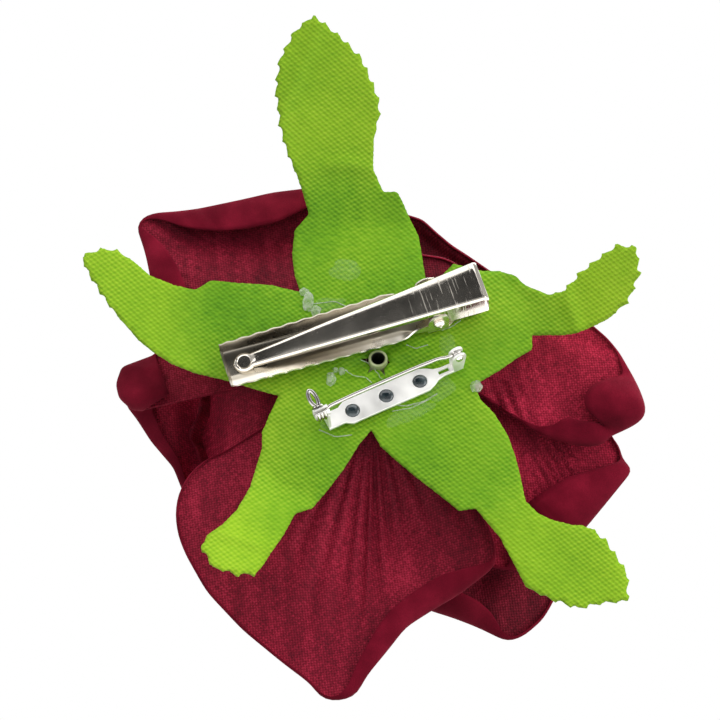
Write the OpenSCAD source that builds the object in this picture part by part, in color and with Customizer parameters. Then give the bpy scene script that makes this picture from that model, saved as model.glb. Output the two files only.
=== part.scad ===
// Rose hair clip and brooch: fabric flower, calyx, sprung alligator clip and bar pin.
// The flower's axis runs along +Y, its face towards +Y and its back, with the clip, towards -Y.
// The origin lies on the jaw's gripping face, in the middle of the bite.

/* [Placement] */
// Tilt of the alligator clip in the plane of the flower's back
clip_tilt = 17; // [0:1:25]
// Tilt of the bar pin in the same plane
pin_tilt = 26; // [15:1:32]
// Distance of the flower's hub to the right of the origin
hub_x = 15; // [14:0.5:16]
// Depth of the calyx's back face at the hub
hub_y = 1; // [1:0.1:1.4]
// Height of the hub, below the origin
hub_z = -2.8; // [-3.4:0.1:-2.6]

/* [Alligator clip] */
// Overall length of the clip
clip_length = 57; // [54:1:60]
// Distance from the jaw's tip to the middle of the bite
grip_from_tip = 18; // [16:1:20]
// Distance from the jaw's tip to the pivot
pivot_from_tip = 45.8; // [44:0.2:47]
// Height of the pivot's axis over the gripping face
pivot_height = 3.6; // [3.5:0.1:3.8]
// Thickness of the sheet steel
sheet = 0.45; // [0.4:0.05:0.5]
// Width of the jaw between the outsides of its walls
jaw_width = 8.6; // [8.4:0.1:9]
// Height of the jaw's walls without the teeth
wall_height = 3; // [2:0.1:3.4]
// Outward lean of the jaw's walls in degrees
wall_lean = 12; // [0:1:15]
// Pitch of the teeth along the walls
tooth_pitch = 3.4; // [2.5:0.1:4]
// Height of the teeth above and below the wall's mean edge
tooth_height = 0.45; // [0.2:0.05:0.6]
// Radius of the lever's round tip
lever_tip_radius = 2; // [1.5:0.1:2.2]
// Slope of the lever over the gripping face in degrees
lever_slope = 7; // [6.5:0.5:7.5]
// Radius of the pivot pin
pivot_radius = 0.8; // [0.7:0.05:0.9]

/* [Bar pin] */
// Width of the bar
bar_width = 5.6; // [5:0.1:6]
// Thickness of the bar
bar_thick = 0.7; // [0.5:0.1:0.8]
// Distance between the bar's holes
hole_pitch = 7.85; // [7:0.05:8]
// Radius of the bar's holes
hole_radius = 1.55; // [1.2:0.05:1.7]
// Height of the pin wire's axis over the bar's back face
wire_height = 6; // [5.8:0.1:6.4]
// Radius of the pin wire
wire_radius = 0.4; // [0.35:0.05:0.45]

/* [Flower] */
// Thickness of the petal fabric
petal_thick = 0.5; // [0.4:0.05:0.6]
// Thickness of the calyx fabric
calyx_thick = 0.4; // [0.3:0.05:0.5]
// Outer radius of the stem tube
tube_radius = 2; // [1.8:0.1:2.1]
// Radius of the stem tube's bore
bore_radius = 1.35; // [1.2:0.05:1.5]
// Length of the stem tube
tube_length = 23; // [22:0.2:23]

/* [Hidden] */
outer_names = [for (i = [1 : 9]) str("outer_petal_", i)];
middle_names = [for (i = [1 : 5]) str("middle_petal_", i)];
inner_names = [for (i = [1 : 5]) str("inner_petal_", i)];
bud_names = [for (i = [1 : 3]) str("bud_petal_", i)];
$fn = 48;

burgundy = [0.42, 0.03, 0.08];
leaf_green = [0.45, 0.72, 0.14];
pale_green = [0.72, 0.78, 0.5];
clear_glue = [0.85, 0.86, 0.8];
nickel = [0.78, 0.77, 0.73];
silver = [0.85, 0.85, 0.86];
brass_wire = [0.7, 0.62, 0.42];
foam_white = [0.85, 0.8, 0.78];

// Clip: x along the clip, -y away from the flower, z across it.
jaw_tip_x = -grip_from_tip;
clip_end_x = clip_length - grip_from_tip;
pivot_x = pivot_from_tip - grip_from_tip;
jaw_half = jaw_width / 2;
teeth_end_x = pivot_x - 4;
ear_radius = 2.3;
ear_gap = jaw_half - sheet;
lever_tip_x = jaw_tip_x + 4.3;
lever_neck_x = lever_tip_x + 3.2;
lever_neck_half = 1.7;
lever_end_half = 4.1;
lever_rest_gap = 0.42;
lever_ear_half = 3.5;
lever_ear_radius = 1.8;
lever_run = clip_end_x - lever_neck_x;
lever_taper = atan((lever_end_half - lever_neck_half) / lever_run);
flange_depth = 2.6;
tab_half = 2.9;
running_gap = 0.07;
coil_radius = 1.25;
coil_wire = 0.3;
coil_half = 1.6;

// Bar pin: x along the bar, y = 0 on the bar's back face, z across it.
pin_x = hub_x + 1.7;
pin_z = hub_z - 8.9;
pin_glue_thick = 0.6;
pin_y = hub_y - pin_glue_thick;
bar_left = -10;
bar_right = 11.2;
bar_end_left = -14;
bar_end_half = 1.6;
neck_half = 1.05;
hinge_x = 16.5;
hinge_height = wire_height - 0.8;
cheek_gap = 0.55;
cheek_thick = 0.5;
rivet_radius = 0.5;
eye_half = 0.45;
point_length = 4;
shank_length = 27;
root_half = 0.42;
root_length = 1.7;
barrel_outer = 1.15;
barrel_inner = 0.6;
barrel_left = -16.6;
barrel_length = bar_end_left + bar_thick - barrel_left;
slot_half = 0.5;
sleeve_inner = barrel_outer + 0.07;
sleeve_outer = 1.75;
sleeve_left = -16.4;
sleeve_right = -14.2;

tube_proud = 1.2;

// Petals lie on nested bowls round the flower's axis, so none cuts its neighbour.
// Each row: direction, length, half width, slope at the root, slope at the rim, root's depth.
petal_root_radius = 2.6;
root_angle = 36;
outer_petals = [
    [264, 71, 33, 14, 0, 0.8],
    [137, 64, 31, 17, 1.5, 1.3],
    [6, 57, 30, 20, 3, 1.8],
    [62, 46, 25, 23, 4.5, 2.3],
    [187, 57, 27, 26, 6, 2.8],
    [338, 58, 27, 29, 7.5, 3.3],
    [299, 63, 25, 32, 9, 3.8],
    [84, 46, 24, 35, 10.5, 4.3],
    [190, 55, 24, 38, 12, 4.8]];
middle_petals = [for (j = [0 : 4])
    [40 + 144 * j, 46 - j, 24 - j, 34 + 3 * j, 34 + 8 * j, 5 + 0.6 * j]];
inner_petals = [for (j = [0 : 4])
    [100 + 144 * j, 40 - j, 19 - j, 49 + 2.5 * j, 78 + 4 * j, 8.3 + 0.6 * j]];
bud_petals = [for (j = [0 : 2])
    [20 + 120 * j, 34 - j, 12, 62 + 3 * j, 94 + 3 * j, 12.8 + 1.5 * j]];
// Each lobe: direction, stretch of its outer part and how far that bends back in degrees.
calyx_lobes = [[24, 0.76, 28], [100.5, 1.12, 26], [159, 0.87, 18], [238, 0.7, 28], [311.5, 1.04, 5]];
lobe_neck = 34;
// Half width of a calyx lobe at distances from the hub.
lobe_outline = [
    [2.3, 40], [8, 40], [14, 40], [18, 11.6], [23, 13.4], [29, 11.2], [36, 8.2], [43, 9.4],
    [52, 10.9], [60, 9.8], [66, 7.4], [71, 3.8], [74, 1]];

module at_hub() translate([hub_x, hub_y, hub_z]) children();
module at_clip() rotate([0, -clip_tilt, 0]) children();
module at_bar() translate([pin_x, pin_y, pin_z]) rotate([0, -pin_tilt, 0]) children();

// A plate in the plane of the flower's back, drawn as x and z, from depth y on.
module plate(y, thick) translate([0, y + thick, 0]) rotate([90, 0, 0]) linear_extrude(thick) children();

// A plate that stands on edge, drawn as x and depth, centred on z.
module standing(z, thick) translate([0, 0, z - thick / 2]) linear_extrude(thick) children();

// A closed sheet from two grids of points, rows by columns; with ring set, the
// columns close into a circle up to row split, and each group of columns is a lobe.
module sheet_solid(front, back, rows, cols, ring = false, split = 0, group = 1) {
    side = rows * cols;
    last = ring ? cols - 1 : cols - 2;
    function at(s, i, j) = s * side + i * cols + (j % cols);
    function there(i, j) = i >= 0 && i < rows - 1 && (ring || (j >= 0 && j <= last))
        && (!ring || i < split || (j + cols) % group != group - 1);
    faces = [for (i = [0 : rows - 2]) for (j = [0 : last]) if (there(i, j)) each concat(
        [[at(0, i, j), at(0, i + 1, j), at(0, i, j + 1)],
         [at(0, i + 1, j), at(0, i + 1, j + 1), at(0, i, j + 1)],
         [at(1, i, j), at(1, i, j + 1), at(1, i + 1, j)],
         [at(1, i + 1, j), at(1, i, j + 1), at(1, i + 1, j + 1)]],
        there(i - 1, j) ? [] : [[at(0, i, j), at(0, i, j + 1), at(1, i, j)],
                                [at(1, i, j), at(0, i, j + 1), at(1, i, j + 1)]],
        there(i + 1, j) ? [] : [[at(0, i + 1, j), at(1, i + 1, j), at(0, i + 1, j + 1)],
                                [at(1, i + 1, j), at(1, i + 1, j + 1), at(0, i + 1, j + 1)]],
        there(i, j - 1) ? [] : [[at(0, i, j), at(1, i, j), at(0, i + 1, j)],
                                [at(1, i, j), at(1, i + 1, j), at(0, i + 1, j)]],
        there(i, j + 1) ? [] : [[at(0, i, j + 1), at(0, i + 1, j + 1), at(1, i, j + 1)],
                                [at(1, i, j + 1), at(0, i + 1, j + 1), at(1, i + 1, j + 1)]])];
    polyhedron(concat(front, back), faces);
}

// Slope, radius and depth of a petal's bowl at share s of its length.
function petal_slope(p, s) = p[3] + (p[4] - p[3]) * s;
function petal_step(p, s) = p[1] * s / 8;
function bowl_radius(p, s) = petal_root_radius
    + petal_step(p, s) * len_sum([for (i = [0 : 7]) cos(petal_slope(p, s * (i + 0.5) / 8))]);
function bowl_depth(p, s) = p[5]
    + petal_step(p, s) * len_sum([for (i = [0 : 7]) sin(petal_slope(p, s * (i + 0.5) / 8))]);
function len_sum(v) = v * [for (i = v) 1];
function petal_half(p, s) = p[2] * sqrt(1 - pow((s - 0.6) / (s < 0.6 ? 0.75 : 0.42), 2));
function petal_angle(p, s, limit) = let (r = bowl_radius(p, s))
    min(limit, petal_half(p, s) / r * 180 / PI, root_angle + 6 * (r - petal_root_radius));
function petal_point(p, s, t, lift, limit) =
    let (a = p[0] + t * petal_angle(p, s, limit),
         r = bowl_radius(p, s) - lift * sin(petal_slope(p, s)),
         y = bowl_depth(p, s) + lift * cos(petal_slope(p, s)))
    [r * cos(a), y, r * sin(a)];

module petal(p, limit, rows = 8, cols = 9) {
    function grid(lift) = [for (i = [0 : rows - 1]) for (j = [0 : cols - 1])
        petal_point(p, i / (rows - 1), 2 * j / (cols - 1) - 1, lift, limit)];
    sheet_solid(grid(petal_thick / 2), grid(-petal_thick / 2), rows, cols);
}

module outer_petal(i) color(burgundy) at_hub() petal(outer_petals[i], 75);
module middle_petal(i) color(burgundy) at_hub() petal(middle_petals[i], 75);
module inner_petal(i) color(burgundy) at_hub() petal(inner_petals[i], 75);
module bud_petal(i) color(burgundy) at_hub() petal(bud_petals[i], 82, cols = 11);

module bud_core() color(foam_white) at_hub() rotate([-90, 0, 0]) rotate_extrude()
    polygon([[tube_radius, 16.2], [2.3, 17.2], [3.3, 22], [4.4, 28], [4.8, 35], [4.4, 40], [3, 43],
             [1.4, 44.2], [0, 44.4], [0, 22], [tube_radius, 22]]);

// Calyx: one sheet, a disc that opens into five waisted lobes.
lobe_cols = 5;
function lobe_gap(i, side) =
    let (next = calyx_lobes[(i + side + 5) % 5][0], turn = (next - calyx_lobes[i][0]) * side)
    (turn < 0 ? turn + 360 : turn) / 2;
function lobe_point(i, row, t, lift) =
    let (d = lobe_outline[row][0],
         most = lobe_gap(i, t < 0 ? -1 : 1),
         open = row > 2,
         half = open ? min(most - 0.6, lobe_outline[row][1] / d * 180 / PI) : most,
         inset = open ? 1 : (lobe_cols - 1) / lobe_cols,
         a = calyx_lobes[i][0] + t * half * inset,
         past = max(0, d - lobe_neck) * calyx_lobes[i][1],
         r = min(d, lobe_neck) + past * cos(calyx_lobes[i][2]),
         y = 0.05 * max(0, min(d, lobe_neck) - 8) - past * sin(calyx_lobes[i][2]))
    [r * cos(a), y + lift, r * sin(a)];

module calyx() {
    rows = len(lobe_outline);
    function grid(lift) = [for (row = [0 : rows - 1]) for (i = [0 : 4]) for (c = [0 : lobe_cols - 1])
        lobe_point(i, row, 2 * c / (lobe_cols - 1) - 1, lift)];
    color(leaf_green) at_hub()
        sheet_solid(grid(calyx_thick), grid(0), rows, 5 * lobe_cols, true, 2, lobe_cols);
}

// Stem tube: open from end to end, a socket at the back and a spigot into the bud core.
module stem_tube() color(pale_green) at_hub() rotate([-90, 0, 0]) difference() {
    translate([0, 0, -tube_proud]) cylinder(r = tube_radius, h = tube_length);
    translate([0, 0, -tube_proud - 1]) cylinder(r = bore_radius, h = tube_length + 2);
}

// Hot glue between the jaw's back and the calyx.
module clip_glue() color(clear_glue) at_clip() plate(sheet, hub_y - sheet) {
    translate([6, -0.5]) circle(r = 4.6);
    translate([14, 0.3]) circle(r = 3.4);
    translate([22, 0]) circle(r = 4.4);
    translate([14, 0]) square([16, 5], center = true);
}

// Hot glue between the bar's back and the calyx, risen through the bar's holes.
module pin_glue() color(clear_glue) at_bar() {
    plate(0, pin_glue_thick) {
        translate([0.5, 0]) square([21, 6.6], center = true);
        translate([-8, 1.5]) circle(r = 3.4);
        translate([9, 1]) circle(r = 3.8);
    }
    for (x = [-hole_pitch, 0, hole_pitch]) translate([x, 0, 0]) rotate([90, 0, 0])
        cylinder(r = hole_radius - 0.05, h = bar_thick + 0.1);
}

// Toothed jaw: a channel with leaning walls, ears for the pivot and a narrow finger tab.
module jaw_wall() translate([0, sheet, ear_gap]) rotate([-wall_lean, 0, 0]) linear_extrude(sheet)
    polygon(concat(
        [[jaw_tip_x, -0.1], [teeth_end_x, -0.1]],
        [for (x = [teeth_end_x : -tooth_pitch / 6 : jaw_tip_x])
            [x, -sheet - wall_height - tooth_height * sin(360 * (x - jaw_tip_x) / tooth_pitch)]],
        [[jaw_tip_x, -sheet - wall_height]]));

module jaw_ear() standing(jaw_half - sheet / 2, sheet) difference() {
    union() {
        translate([pivot_x, -pivot_height]) circle(r = ear_radius);
        translate([pivot_x - ear_radius, -pivot_height]) square([2 * ear_radius, pivot_height + sheet]);
    }
    translate([pivot_x, -pivot_height]) circle(r = pivot_radius);
}

module clip_jaw() color(nickel) at_clip() {
    plate(0, sheet) polygon([
        [jaw_tip_x, -jaw_half], [pivot_x + ear_radius, -jaw_half], [pivot_x + ear_radius + 1.5, -tab_half],
        [clip_end_x - 0.6, -tab_half], [clip_end_x - 0.6, tab_half],
        [pivot_x + ear_radius + 1.5, tab_half], [pivot_x + ear_radius, jaw_half], [jaw_tip_x, jaw_half]]);
    for (side = [0, 1]) mirror([0, 0, side]) {
        jaw_wall();
        jaw_ear();
    }
}

// Lever: a tapered plate with a round tip, edge flanges and ears, sloping up to its finger end.
module on_lever() translate([lever_tip_x, -lever_rest_gap, 0]) rotate([0, 0, -lever_slope])
    translate([-lever_tip_x, 0, 0]) children();

module lever_flange() translate([lever_neck_x, 0, lever_neck_half - sheet])
    rotate([0, -lever_taper, 0]) linear_extrude(sheet)
    polygon([[0, -sheet], [lever_run, -sheet], [lever_run, flange_depth - 0.6],
             [lever_run - 0.6, flange_depth], [lever_run - 8, flange_depth],
             [lever_run - 9, 1], [0, 0.2]]);

module lever_ear() standing(lever_ear_half - sheet / 2, sheet) difference() {
    union() {
        translate([pivot_x, -pivot_height]) circle(r = lever_ear_radius);
        translate([pivot_x - lever_ear_radius, -pivot_height - 1.9]) square([2 * lever_ear_radius, 1.9]);
    }
    translate([pivot_x, -pivot_height]) circle(r = pivot_radius + running_gap);
}

module clip_lever() color(silver) at_clip() {
    on_lever() {
        plate(-sheet, sheet) {
            translate([lever_tip_x, 0]) circle(r = lever_tip_radius);
            translate([lever_tip_x, -1.3]) square([4, 2.6]);
            polygon([[lever_neck_x, -lever_neck_half], [clip_end_x, -lever_end_half],
                     [clip_end_x, lever_end_half], [lever_neck_x, lever_neck_half]]);
        }
        for (side = [0, 1]) mirror([0, 0, side]) lever_flange();
    }
    for (side = [0, 1]) mirror([0, 0, side]) lever_ear();
}

module clip_pivot_pin() color(nickel) at_clip() translate([pivot_x, -pivot_height, 0]) {
    cylinder(r = pivot_radius, h = jaw_width, center = true);
    for (side = [0, 1]) mirror([0, 0, side]) intersection() {
        translate([0, 0, jaw_half + 0.25]) sphere(r = 1.35);
        translate([0, 0, jaw_half]) cylinder(r = 2, h = 3);
    }
}

// Spring: the coil round the pin with the leg that bears on the jaw.
module clip_spring() color(brass_wire) at_clip() {
    translate([pivot_x, -pivot_height, 0]) difference() {
        cylinder(r = coil_radius + coil_wire, h = 2 * coil_half, center = true);
        cylinder(r = coil_radius - coil_wire, h = 2 * coil_half + 1, center = true);
    }
    translate([pivot_x + 0.2, -pivot_height + coil_radius, coil_half - 0.5])
        rotate([0, 90, 0]) rotate([-15, 0, 0]) cylinder(r = coil_wire, h = 7.5);
}

// Spring: the leg that bears on the lever and moves with it.
module clip_spring_leg() color(brass_wire) at_clip() on_lever()
    translate([pivot_x + 2.2, coil_wire + 0.05, 0.5 - coil_half])
    rotate([0, 90, 0]) cylinder(r = coil_wire, h = 6);

// Bar pin: the bar with its holes, folded hinge cheeks and slotted catch barrel.
module bar_outline() difference() {
    union() {
        translate([bar_left, -bar_width / 2]) square([bar_right - bar_left, bar_width]);
        translate([bar_end_left, -bar_end_half]) square([bar_left - bar_end_left, 2 * bar_end_half]);
        translate([bar_right, -neck_half]) square([hinge_x + 1.2 - bar_right, 2 * neck_half]);
    }
    for (x = [-hole_pitch, 0, hole_pitch]) translate([x, 0]) circle(r = hole_radius);
}

module hinge_cheek() standing(cheek_gap + cheek_thick / 2, cheek_thick) difference() {
    union() {
        translate([hinge_x, -hinge_height]) circle(r = 1.6);
        translate([hinge_x - 1.2, -hinge_height]) square([2.4, hinge_height - bar_thick / 2]);
    }
    translate([hinge_x, -hinge_height]) circle(r = rivet_radius);
}

module pin_bar() color(silver) at_bar() {
    plate(-bar_thick, bar_thick) bar_outline();
    for (side = [0, 1]) mirror([0, 0, side]) hinge_cheek();
    translate([bar_end_left, -wire_height + 0.8, -1]) cube([0.7, wire_height - 0.9, 2]);
    translate([0, -wire_height, 0]) difference() {
        translate([barrel_left, 0, 0]) rotate([0, 90, 0]) cylinder(r = barrel_outer, h = barrel_length);
        translate([barrel_left - 1, 0, 0]) rotate([0, 90, 0]) cylinder(r = barrel_inner, h = 6);
        translate([barrel_left - 1, -3, -slot_half]) cube([6, 3, 2 * slot_half]);
    }
}

module pin_hinge_rivet() color(nickel) at_bar() translate([hinge_x, -hinge_height, 0]) {
    half = cheek_gap + cheek_thick;
    cylinder(r = rivet_radius, h = 2 * half, center = true);
    for (side = [0, 1]) mirror([0, 0, side])
        translate([0, 0, half]) cylinder(r1 = 0.9, r2 = 0.6, h = 0.35);
}

module pin_wire() color(silver) at_bar() {
    tip_x = barrel_left - 0.2;
    difference() {
        union() {
            translate([hinge_x, -hinge_height, 0]) cylinder(r = 1.3, h = 2 * eye_half, center = true);
            translate([tip_x + point_length, -wire_height, 0]) rotate([0, 90, 0])
                cylinder(r = wire_radius, h = shank_length);
            translate([tip_x + point_length + shank_length, -wire_height - root_half, -root_half])
                cube([root_length, 2 * root_half, 2 * root_half]);
        }
        translate([hinge_x, -hinge_height, 0])
            cylinder(r = rivet_radius + running_gap, h = 3, center = true);
    }
    translate([tip_x, -wire_height, 0]) rotate([0, 90, 0])
        cylinder(r1 = 0.08, r2 = wire_radius, h = point_length);
}

// Catch sleeve: a slotted ring round the barrel with a thumb tab.
module pin_catch_sleeve() color(silver) at_bar() translate([0, -wire_height, 0]) difference() {
    union() {
        translate([sleeve_left, 0, 0]) rotate([0, 90, 0])
            cylinder(r = sleeve_outer, h = sleeve_right - sleeve_left);
        translate([sleeve_left + 0.7, -0.4, 1.4]) cube([0.8, 0.8, 3.4]);
        translate([sleeve_left + 1.1, 0.4, 4.6]) rotate([90, 0, 0]) cylinder(r = 1.2, h = 0.8);
    }
    translate([sleeve_left - 1, 0, 0]) rotate([0, 90, 0]) cylinder(r = sleeve_inner, h = 5);
    translate([sleeve_left - 1, -3, -slot_half - 0.15]) cube([5, 3, 2 * slot_half + 0.3]);
}

for (i = [0 : 8]) outer_petal(i);
for (i = [0 : 4]) middle_petal(i);
for (i = [0 : 4]) inner_petal(i);
for (i = [0 : 2]) bud_petal(i);
bud_core();
calyx();
stem_tube();
clip_glue();
pin_glue();
clip_jaw();
clip_lever();
clip_pivot_pin();
clip_spring();
clip_spring_leg();
pin_bar();
pin_hinge_rivet();
pin_wire();
pin_catch_sleeve();
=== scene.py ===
import math

import bmesh
import bpy
import numpy as np
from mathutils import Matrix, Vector, geometry, noise

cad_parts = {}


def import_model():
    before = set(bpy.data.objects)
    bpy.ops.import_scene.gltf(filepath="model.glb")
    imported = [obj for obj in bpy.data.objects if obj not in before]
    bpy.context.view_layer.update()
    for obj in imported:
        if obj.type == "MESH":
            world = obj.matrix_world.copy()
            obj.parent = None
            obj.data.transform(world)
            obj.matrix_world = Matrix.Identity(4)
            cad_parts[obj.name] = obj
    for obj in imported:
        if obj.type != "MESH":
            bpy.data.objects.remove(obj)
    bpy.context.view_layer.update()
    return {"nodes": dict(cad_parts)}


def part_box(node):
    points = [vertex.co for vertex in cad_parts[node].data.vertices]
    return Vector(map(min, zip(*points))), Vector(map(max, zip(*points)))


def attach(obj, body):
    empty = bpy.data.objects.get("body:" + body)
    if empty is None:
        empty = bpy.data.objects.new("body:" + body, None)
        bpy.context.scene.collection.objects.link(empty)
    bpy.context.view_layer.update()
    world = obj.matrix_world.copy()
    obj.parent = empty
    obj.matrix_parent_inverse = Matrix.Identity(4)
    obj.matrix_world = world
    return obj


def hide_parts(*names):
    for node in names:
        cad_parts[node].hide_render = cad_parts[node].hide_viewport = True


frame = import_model()
scene = bpy.context.scene

# ---------------------------------------------------------------- frame and view
# The flower is worked in millimetres from its hub: x right, y away from the back, z up.
MM = 0.001
TUBE_PROUD = 1.2
tube_low, tube_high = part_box("stem_tube")
HUB = np.array([(tube_low[0] + tube_high[0]) / 2, tube_low[1] + TUBE_PROUD * MM,
                (tube_low[2] + tube_high[2]) / 2])

# The back is seen from 28 degrees below the flower's axis, 620 mm away.
VIEW_TILT = math.radians(28)
VIEW_DISTANCE = 620.0
SIN, COS = math.sin(VIEW_TILT), math.cos(VIEW_TILT)

# The clip and the bar pin are turned this far about the flower's axis.
CLIP_TILT = math.radians(17)
PIN_TILT = math.radians(26)


def world(points):
    """Metres in the shared frame from millimetres round the hub."""
    return HUB + np.asarray(points, float) * MM


def seen(x, v, y):
    """The point at depth y that shows x to the right of and v above the hub from the back."""
    near = (1 + y / (COS * VIEW_DISTANCE)) / (1 - v * SIN / (COS * VIEW_DISTANCE))
    return np.stack([x * near, y + 0 * x, (v * near + y * SIN) / COS], -1)


# ---------------------------------------------------------------- small tools
def smooth(a, b, x):
    """0 at a, 1 at b, and an eased step between."""
    t = np.clip((np.asarray(x, float) - a) / (b - a), 0, 1)
    return t * t * (3 - 2 * t)


def resample(points, count, softness=0):
    """Evenly spaced points along a polyline of any dimension, spaced by its first two columns."""
    p = np.asarray(points, float)
    along = np.concatenate([[0], np.cumsum(np.hypot(*np.diff(p[:, :2], axis=0).T) + 1e-6)])
    at = np.linspace(0, along[-1], count)
    out = np.stack([np.interp(at, along, p[:, c]) for c in range(p.shape[1])], -1)
    for _ in range(softness):
        out[1:-1] = (out[:-2] + 2 * out[1:-1] + out[2:]) / 4
    return out


def wrinkle(x, z, size, seed):
    """Smooth noise from -1 to 1 over a plane, in millimetres."""
    flat = np.stack([np.ravel(x), np.ravel(z)], -1)
    values = [noise.noise(Vector((a / size, b / size, seed * 7.3))) for a, b in flat]
    return np.reshape(values, np.shape(x))


def full_turn(count):
    """Angles evenly round a circle."""
    return np.linspace(0, 2 * math.pi, count, endpoint=False)


def add_object(name, data):
    obj = bpy.data.objects.new(name, data)
    scene.collection.objects.link(obj)
    return obj


def shade(mesh, sharp):
    """Shades a mesh smooth, apart from the edges that turn by more than sharp degrees."""
    mesh.polygons.foreach_set("use_smooth", [True] * len(mesh.polygons))
    mesh.set_sharp_from_angle(angle=math.radians(sharp))


def make(name, verts, faces, uv=None):
    """An object in the shared frame from points in millimetres round the hub."""
    mesh = bpy.data.meshes.new(name)
    mesh.from_pydata([tuple(v) for v in world(verts)], [], [tuple(f) for f in faces])
    if uv is not None:
        layer = mesh.uv_layers.new(name="cloth")
        flat = np.asarray(uv, float).reshape(-1, 2) * MM
        index = np.empty(len(mesh.loops), int)
        mesh.loops.foreach_get("vertex_index", index)
        layer.data.foreach_set("uv", flat[index].ravel())
    mesh.polygons.foreach_set("use_smooth", [True] * len(mesh.polygons))
    return add_object(name, mesh)


def grid_faces(rows, cols, closed=False):
    """Four-sided faces over rows of points; closed joins each row's end to its start."""
    i, j = np.meshgrid(np.arange(rows - 1), np.arange(cols if closed else cols - 1), indexing="ij")
    k = (j + 1) % cols
    quads = np.stack([i * cols + j, (i + 1) * cols + j, (i + 1) * cols + k, i * cols + k], -1)
    return quads.reshape(-1, 4).tolist()


def tube_faces(rows, sides):
    """Faces round a stack of rings, with a flat cap at each end."""
    caps = [list(range(sides))[::-1], list(range(sides * (rows - 1), sides * rows))]
    return grid_faces(rows, sides, True) + caps


def settle(obj):
    """Replaces an object's mesh with what its modifiers make of it."""
    depsgraph = bpy.context.evaluated_depsgraph_get()
    mesh = bpy.data.meshes.new_from_object(obj.evaluated_get(depsgraph), depsgraph=depsgraph)
    obj.modifiers.clear()
    obj.data = mesh
    return obj


def thicken(obj, thickness, materials):
    """Gives a sheet its thickness and its two sides: the back as built, the front behind it."""
    for material in materials:
        obj.data.materials.append(material)
    shell = obj.modifiers.new("shell", "SOLIDIFY")
    shell.thickness = thickness * MM
    shell.offset = -1
    shell.material_offset = 1
    shell.material_offset_rim = 1
    return settle(obj)


# ---------------------------------------------------------------- materials
class Material:
    """A material with its Principled shader, and short ways to add nodes to it."""

    def __init__(self, name, **sockets):
        self.material = bpy.data.materials.new(name)
        self.material.use_nodes = True
        self.tree = self.material.node_tree
        self.shader = next(n for n in self.tree.nodes if n.type == "BSDF_PRINCIPLED")
        for key, value in sockets.items():
            self.shader.inputs[key.replace("_", " ")].default_value = value

    def node(self, kind, inputs=(), **settings):
        made = self.tree.nodes.new(kind)
        for key, value in settings.items():
            setattr(made, key, value)
        for key, value in dict(inputs).items():
            self.put(made.inputs[key], value)
        return made

    def put(self, socket, value):
        if isinstance(value, bpy.types.NodeSocket):
            self.tree.links.new(value, socket)
        else:
            socket.default_value = value

    def math(self, operation, a, b=0.0, c=0.0):
        return self.node("ShaderNodeMath", {0: a, 1: b, 2: c}, operation=operation).outputs[0]

    def noise(self, scale, detail=3.0, vector=None):
        made = self.node("ShaderNodeTexNoise", {"Scale": scale, "Detail": detail})
        self.put(made.inputs["Vector"], vector or self.object_place())
        return made.outputs[0]

    def streaks(self, place, scale, detail=2.0):
        """Noise whose fineness differs from one direction to another."""
        stretched = self.node("ShaderNodeMapping", {"Vector": place, "Scale": scale}).outputs[0]
        return self.noise(1.0, detail, stretched)

    def mix(self, factor, first, second):
        made = self.node("ShaderNodeMix", {0: factor, 6: first, 7: second}, data_type="RGBA")
        return made.outputs[2]

    def length(self, vector):
        return self.node("ShaderNodeVectorMath", {0: vector}, operation="LENGTH").outputs["Value"]

    def object_place(self):
        return self.node("ShaderNodeTexCoord").outputs["Object"]

    def cloth_place(self, turn=0.0):
        uv = self.node("ShaderNodeUVMap", uv_map="cloth").outputs[0]
        rotation = (0, 0, math.radians(turn))
        return self.node("ShaderNodeMapping", {"Vector": uv, "Rotation": rotation}).outputs[0]

    def ramp(self, factor, stops):
        made = self.node("ShaderNodeValToRGB", {"Fac": factor})
        marks = made.color_ramp.elements
        while len(marks) < len(stops):
            marks.new(0.5)
        for mark, (position, colour) in zip(marks, stops):
            mark.position = position
            mark.color = (*colour, 1) if len(colour) == 3 else colour
        return made.outputs[0]

    def span(self, value, low, high, to_low, to_high):
        return self.node("ShaderNodeMapRange", {0: value, 1: low, 2: high, 3: to_low, 4: to_high}).outputs[0]

    def weave(self, pitch, turn=0.0, stretch=1.0):
        """Height of a plain weave from -1 to 1, threads pitch metres apart."""
        split = self.node("ShaderNodeSeparateXYZ", {0: self.cloth_place(turn)})
        waves = [self.math("SINE", self.math("MULTIPLY", split.outputs[axis], math.pi / pitch / longer))
                 for axis, longer in ((0, stretch), (1, 1))]
        return self.math("MULTIPLY", waves[0], waves[1])

    def bump(self, height, distance, strength):
        made = self.node("ShaderNodeBump", {"Height": height, "Distance": distance, "Strength": strength})
        return made.outputs[0]

    def finish(self, **links):
        for key, value in links.items():
            self.put(self.shader.inputs[key.replace("_", " ")], value)
        return self.material


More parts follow.
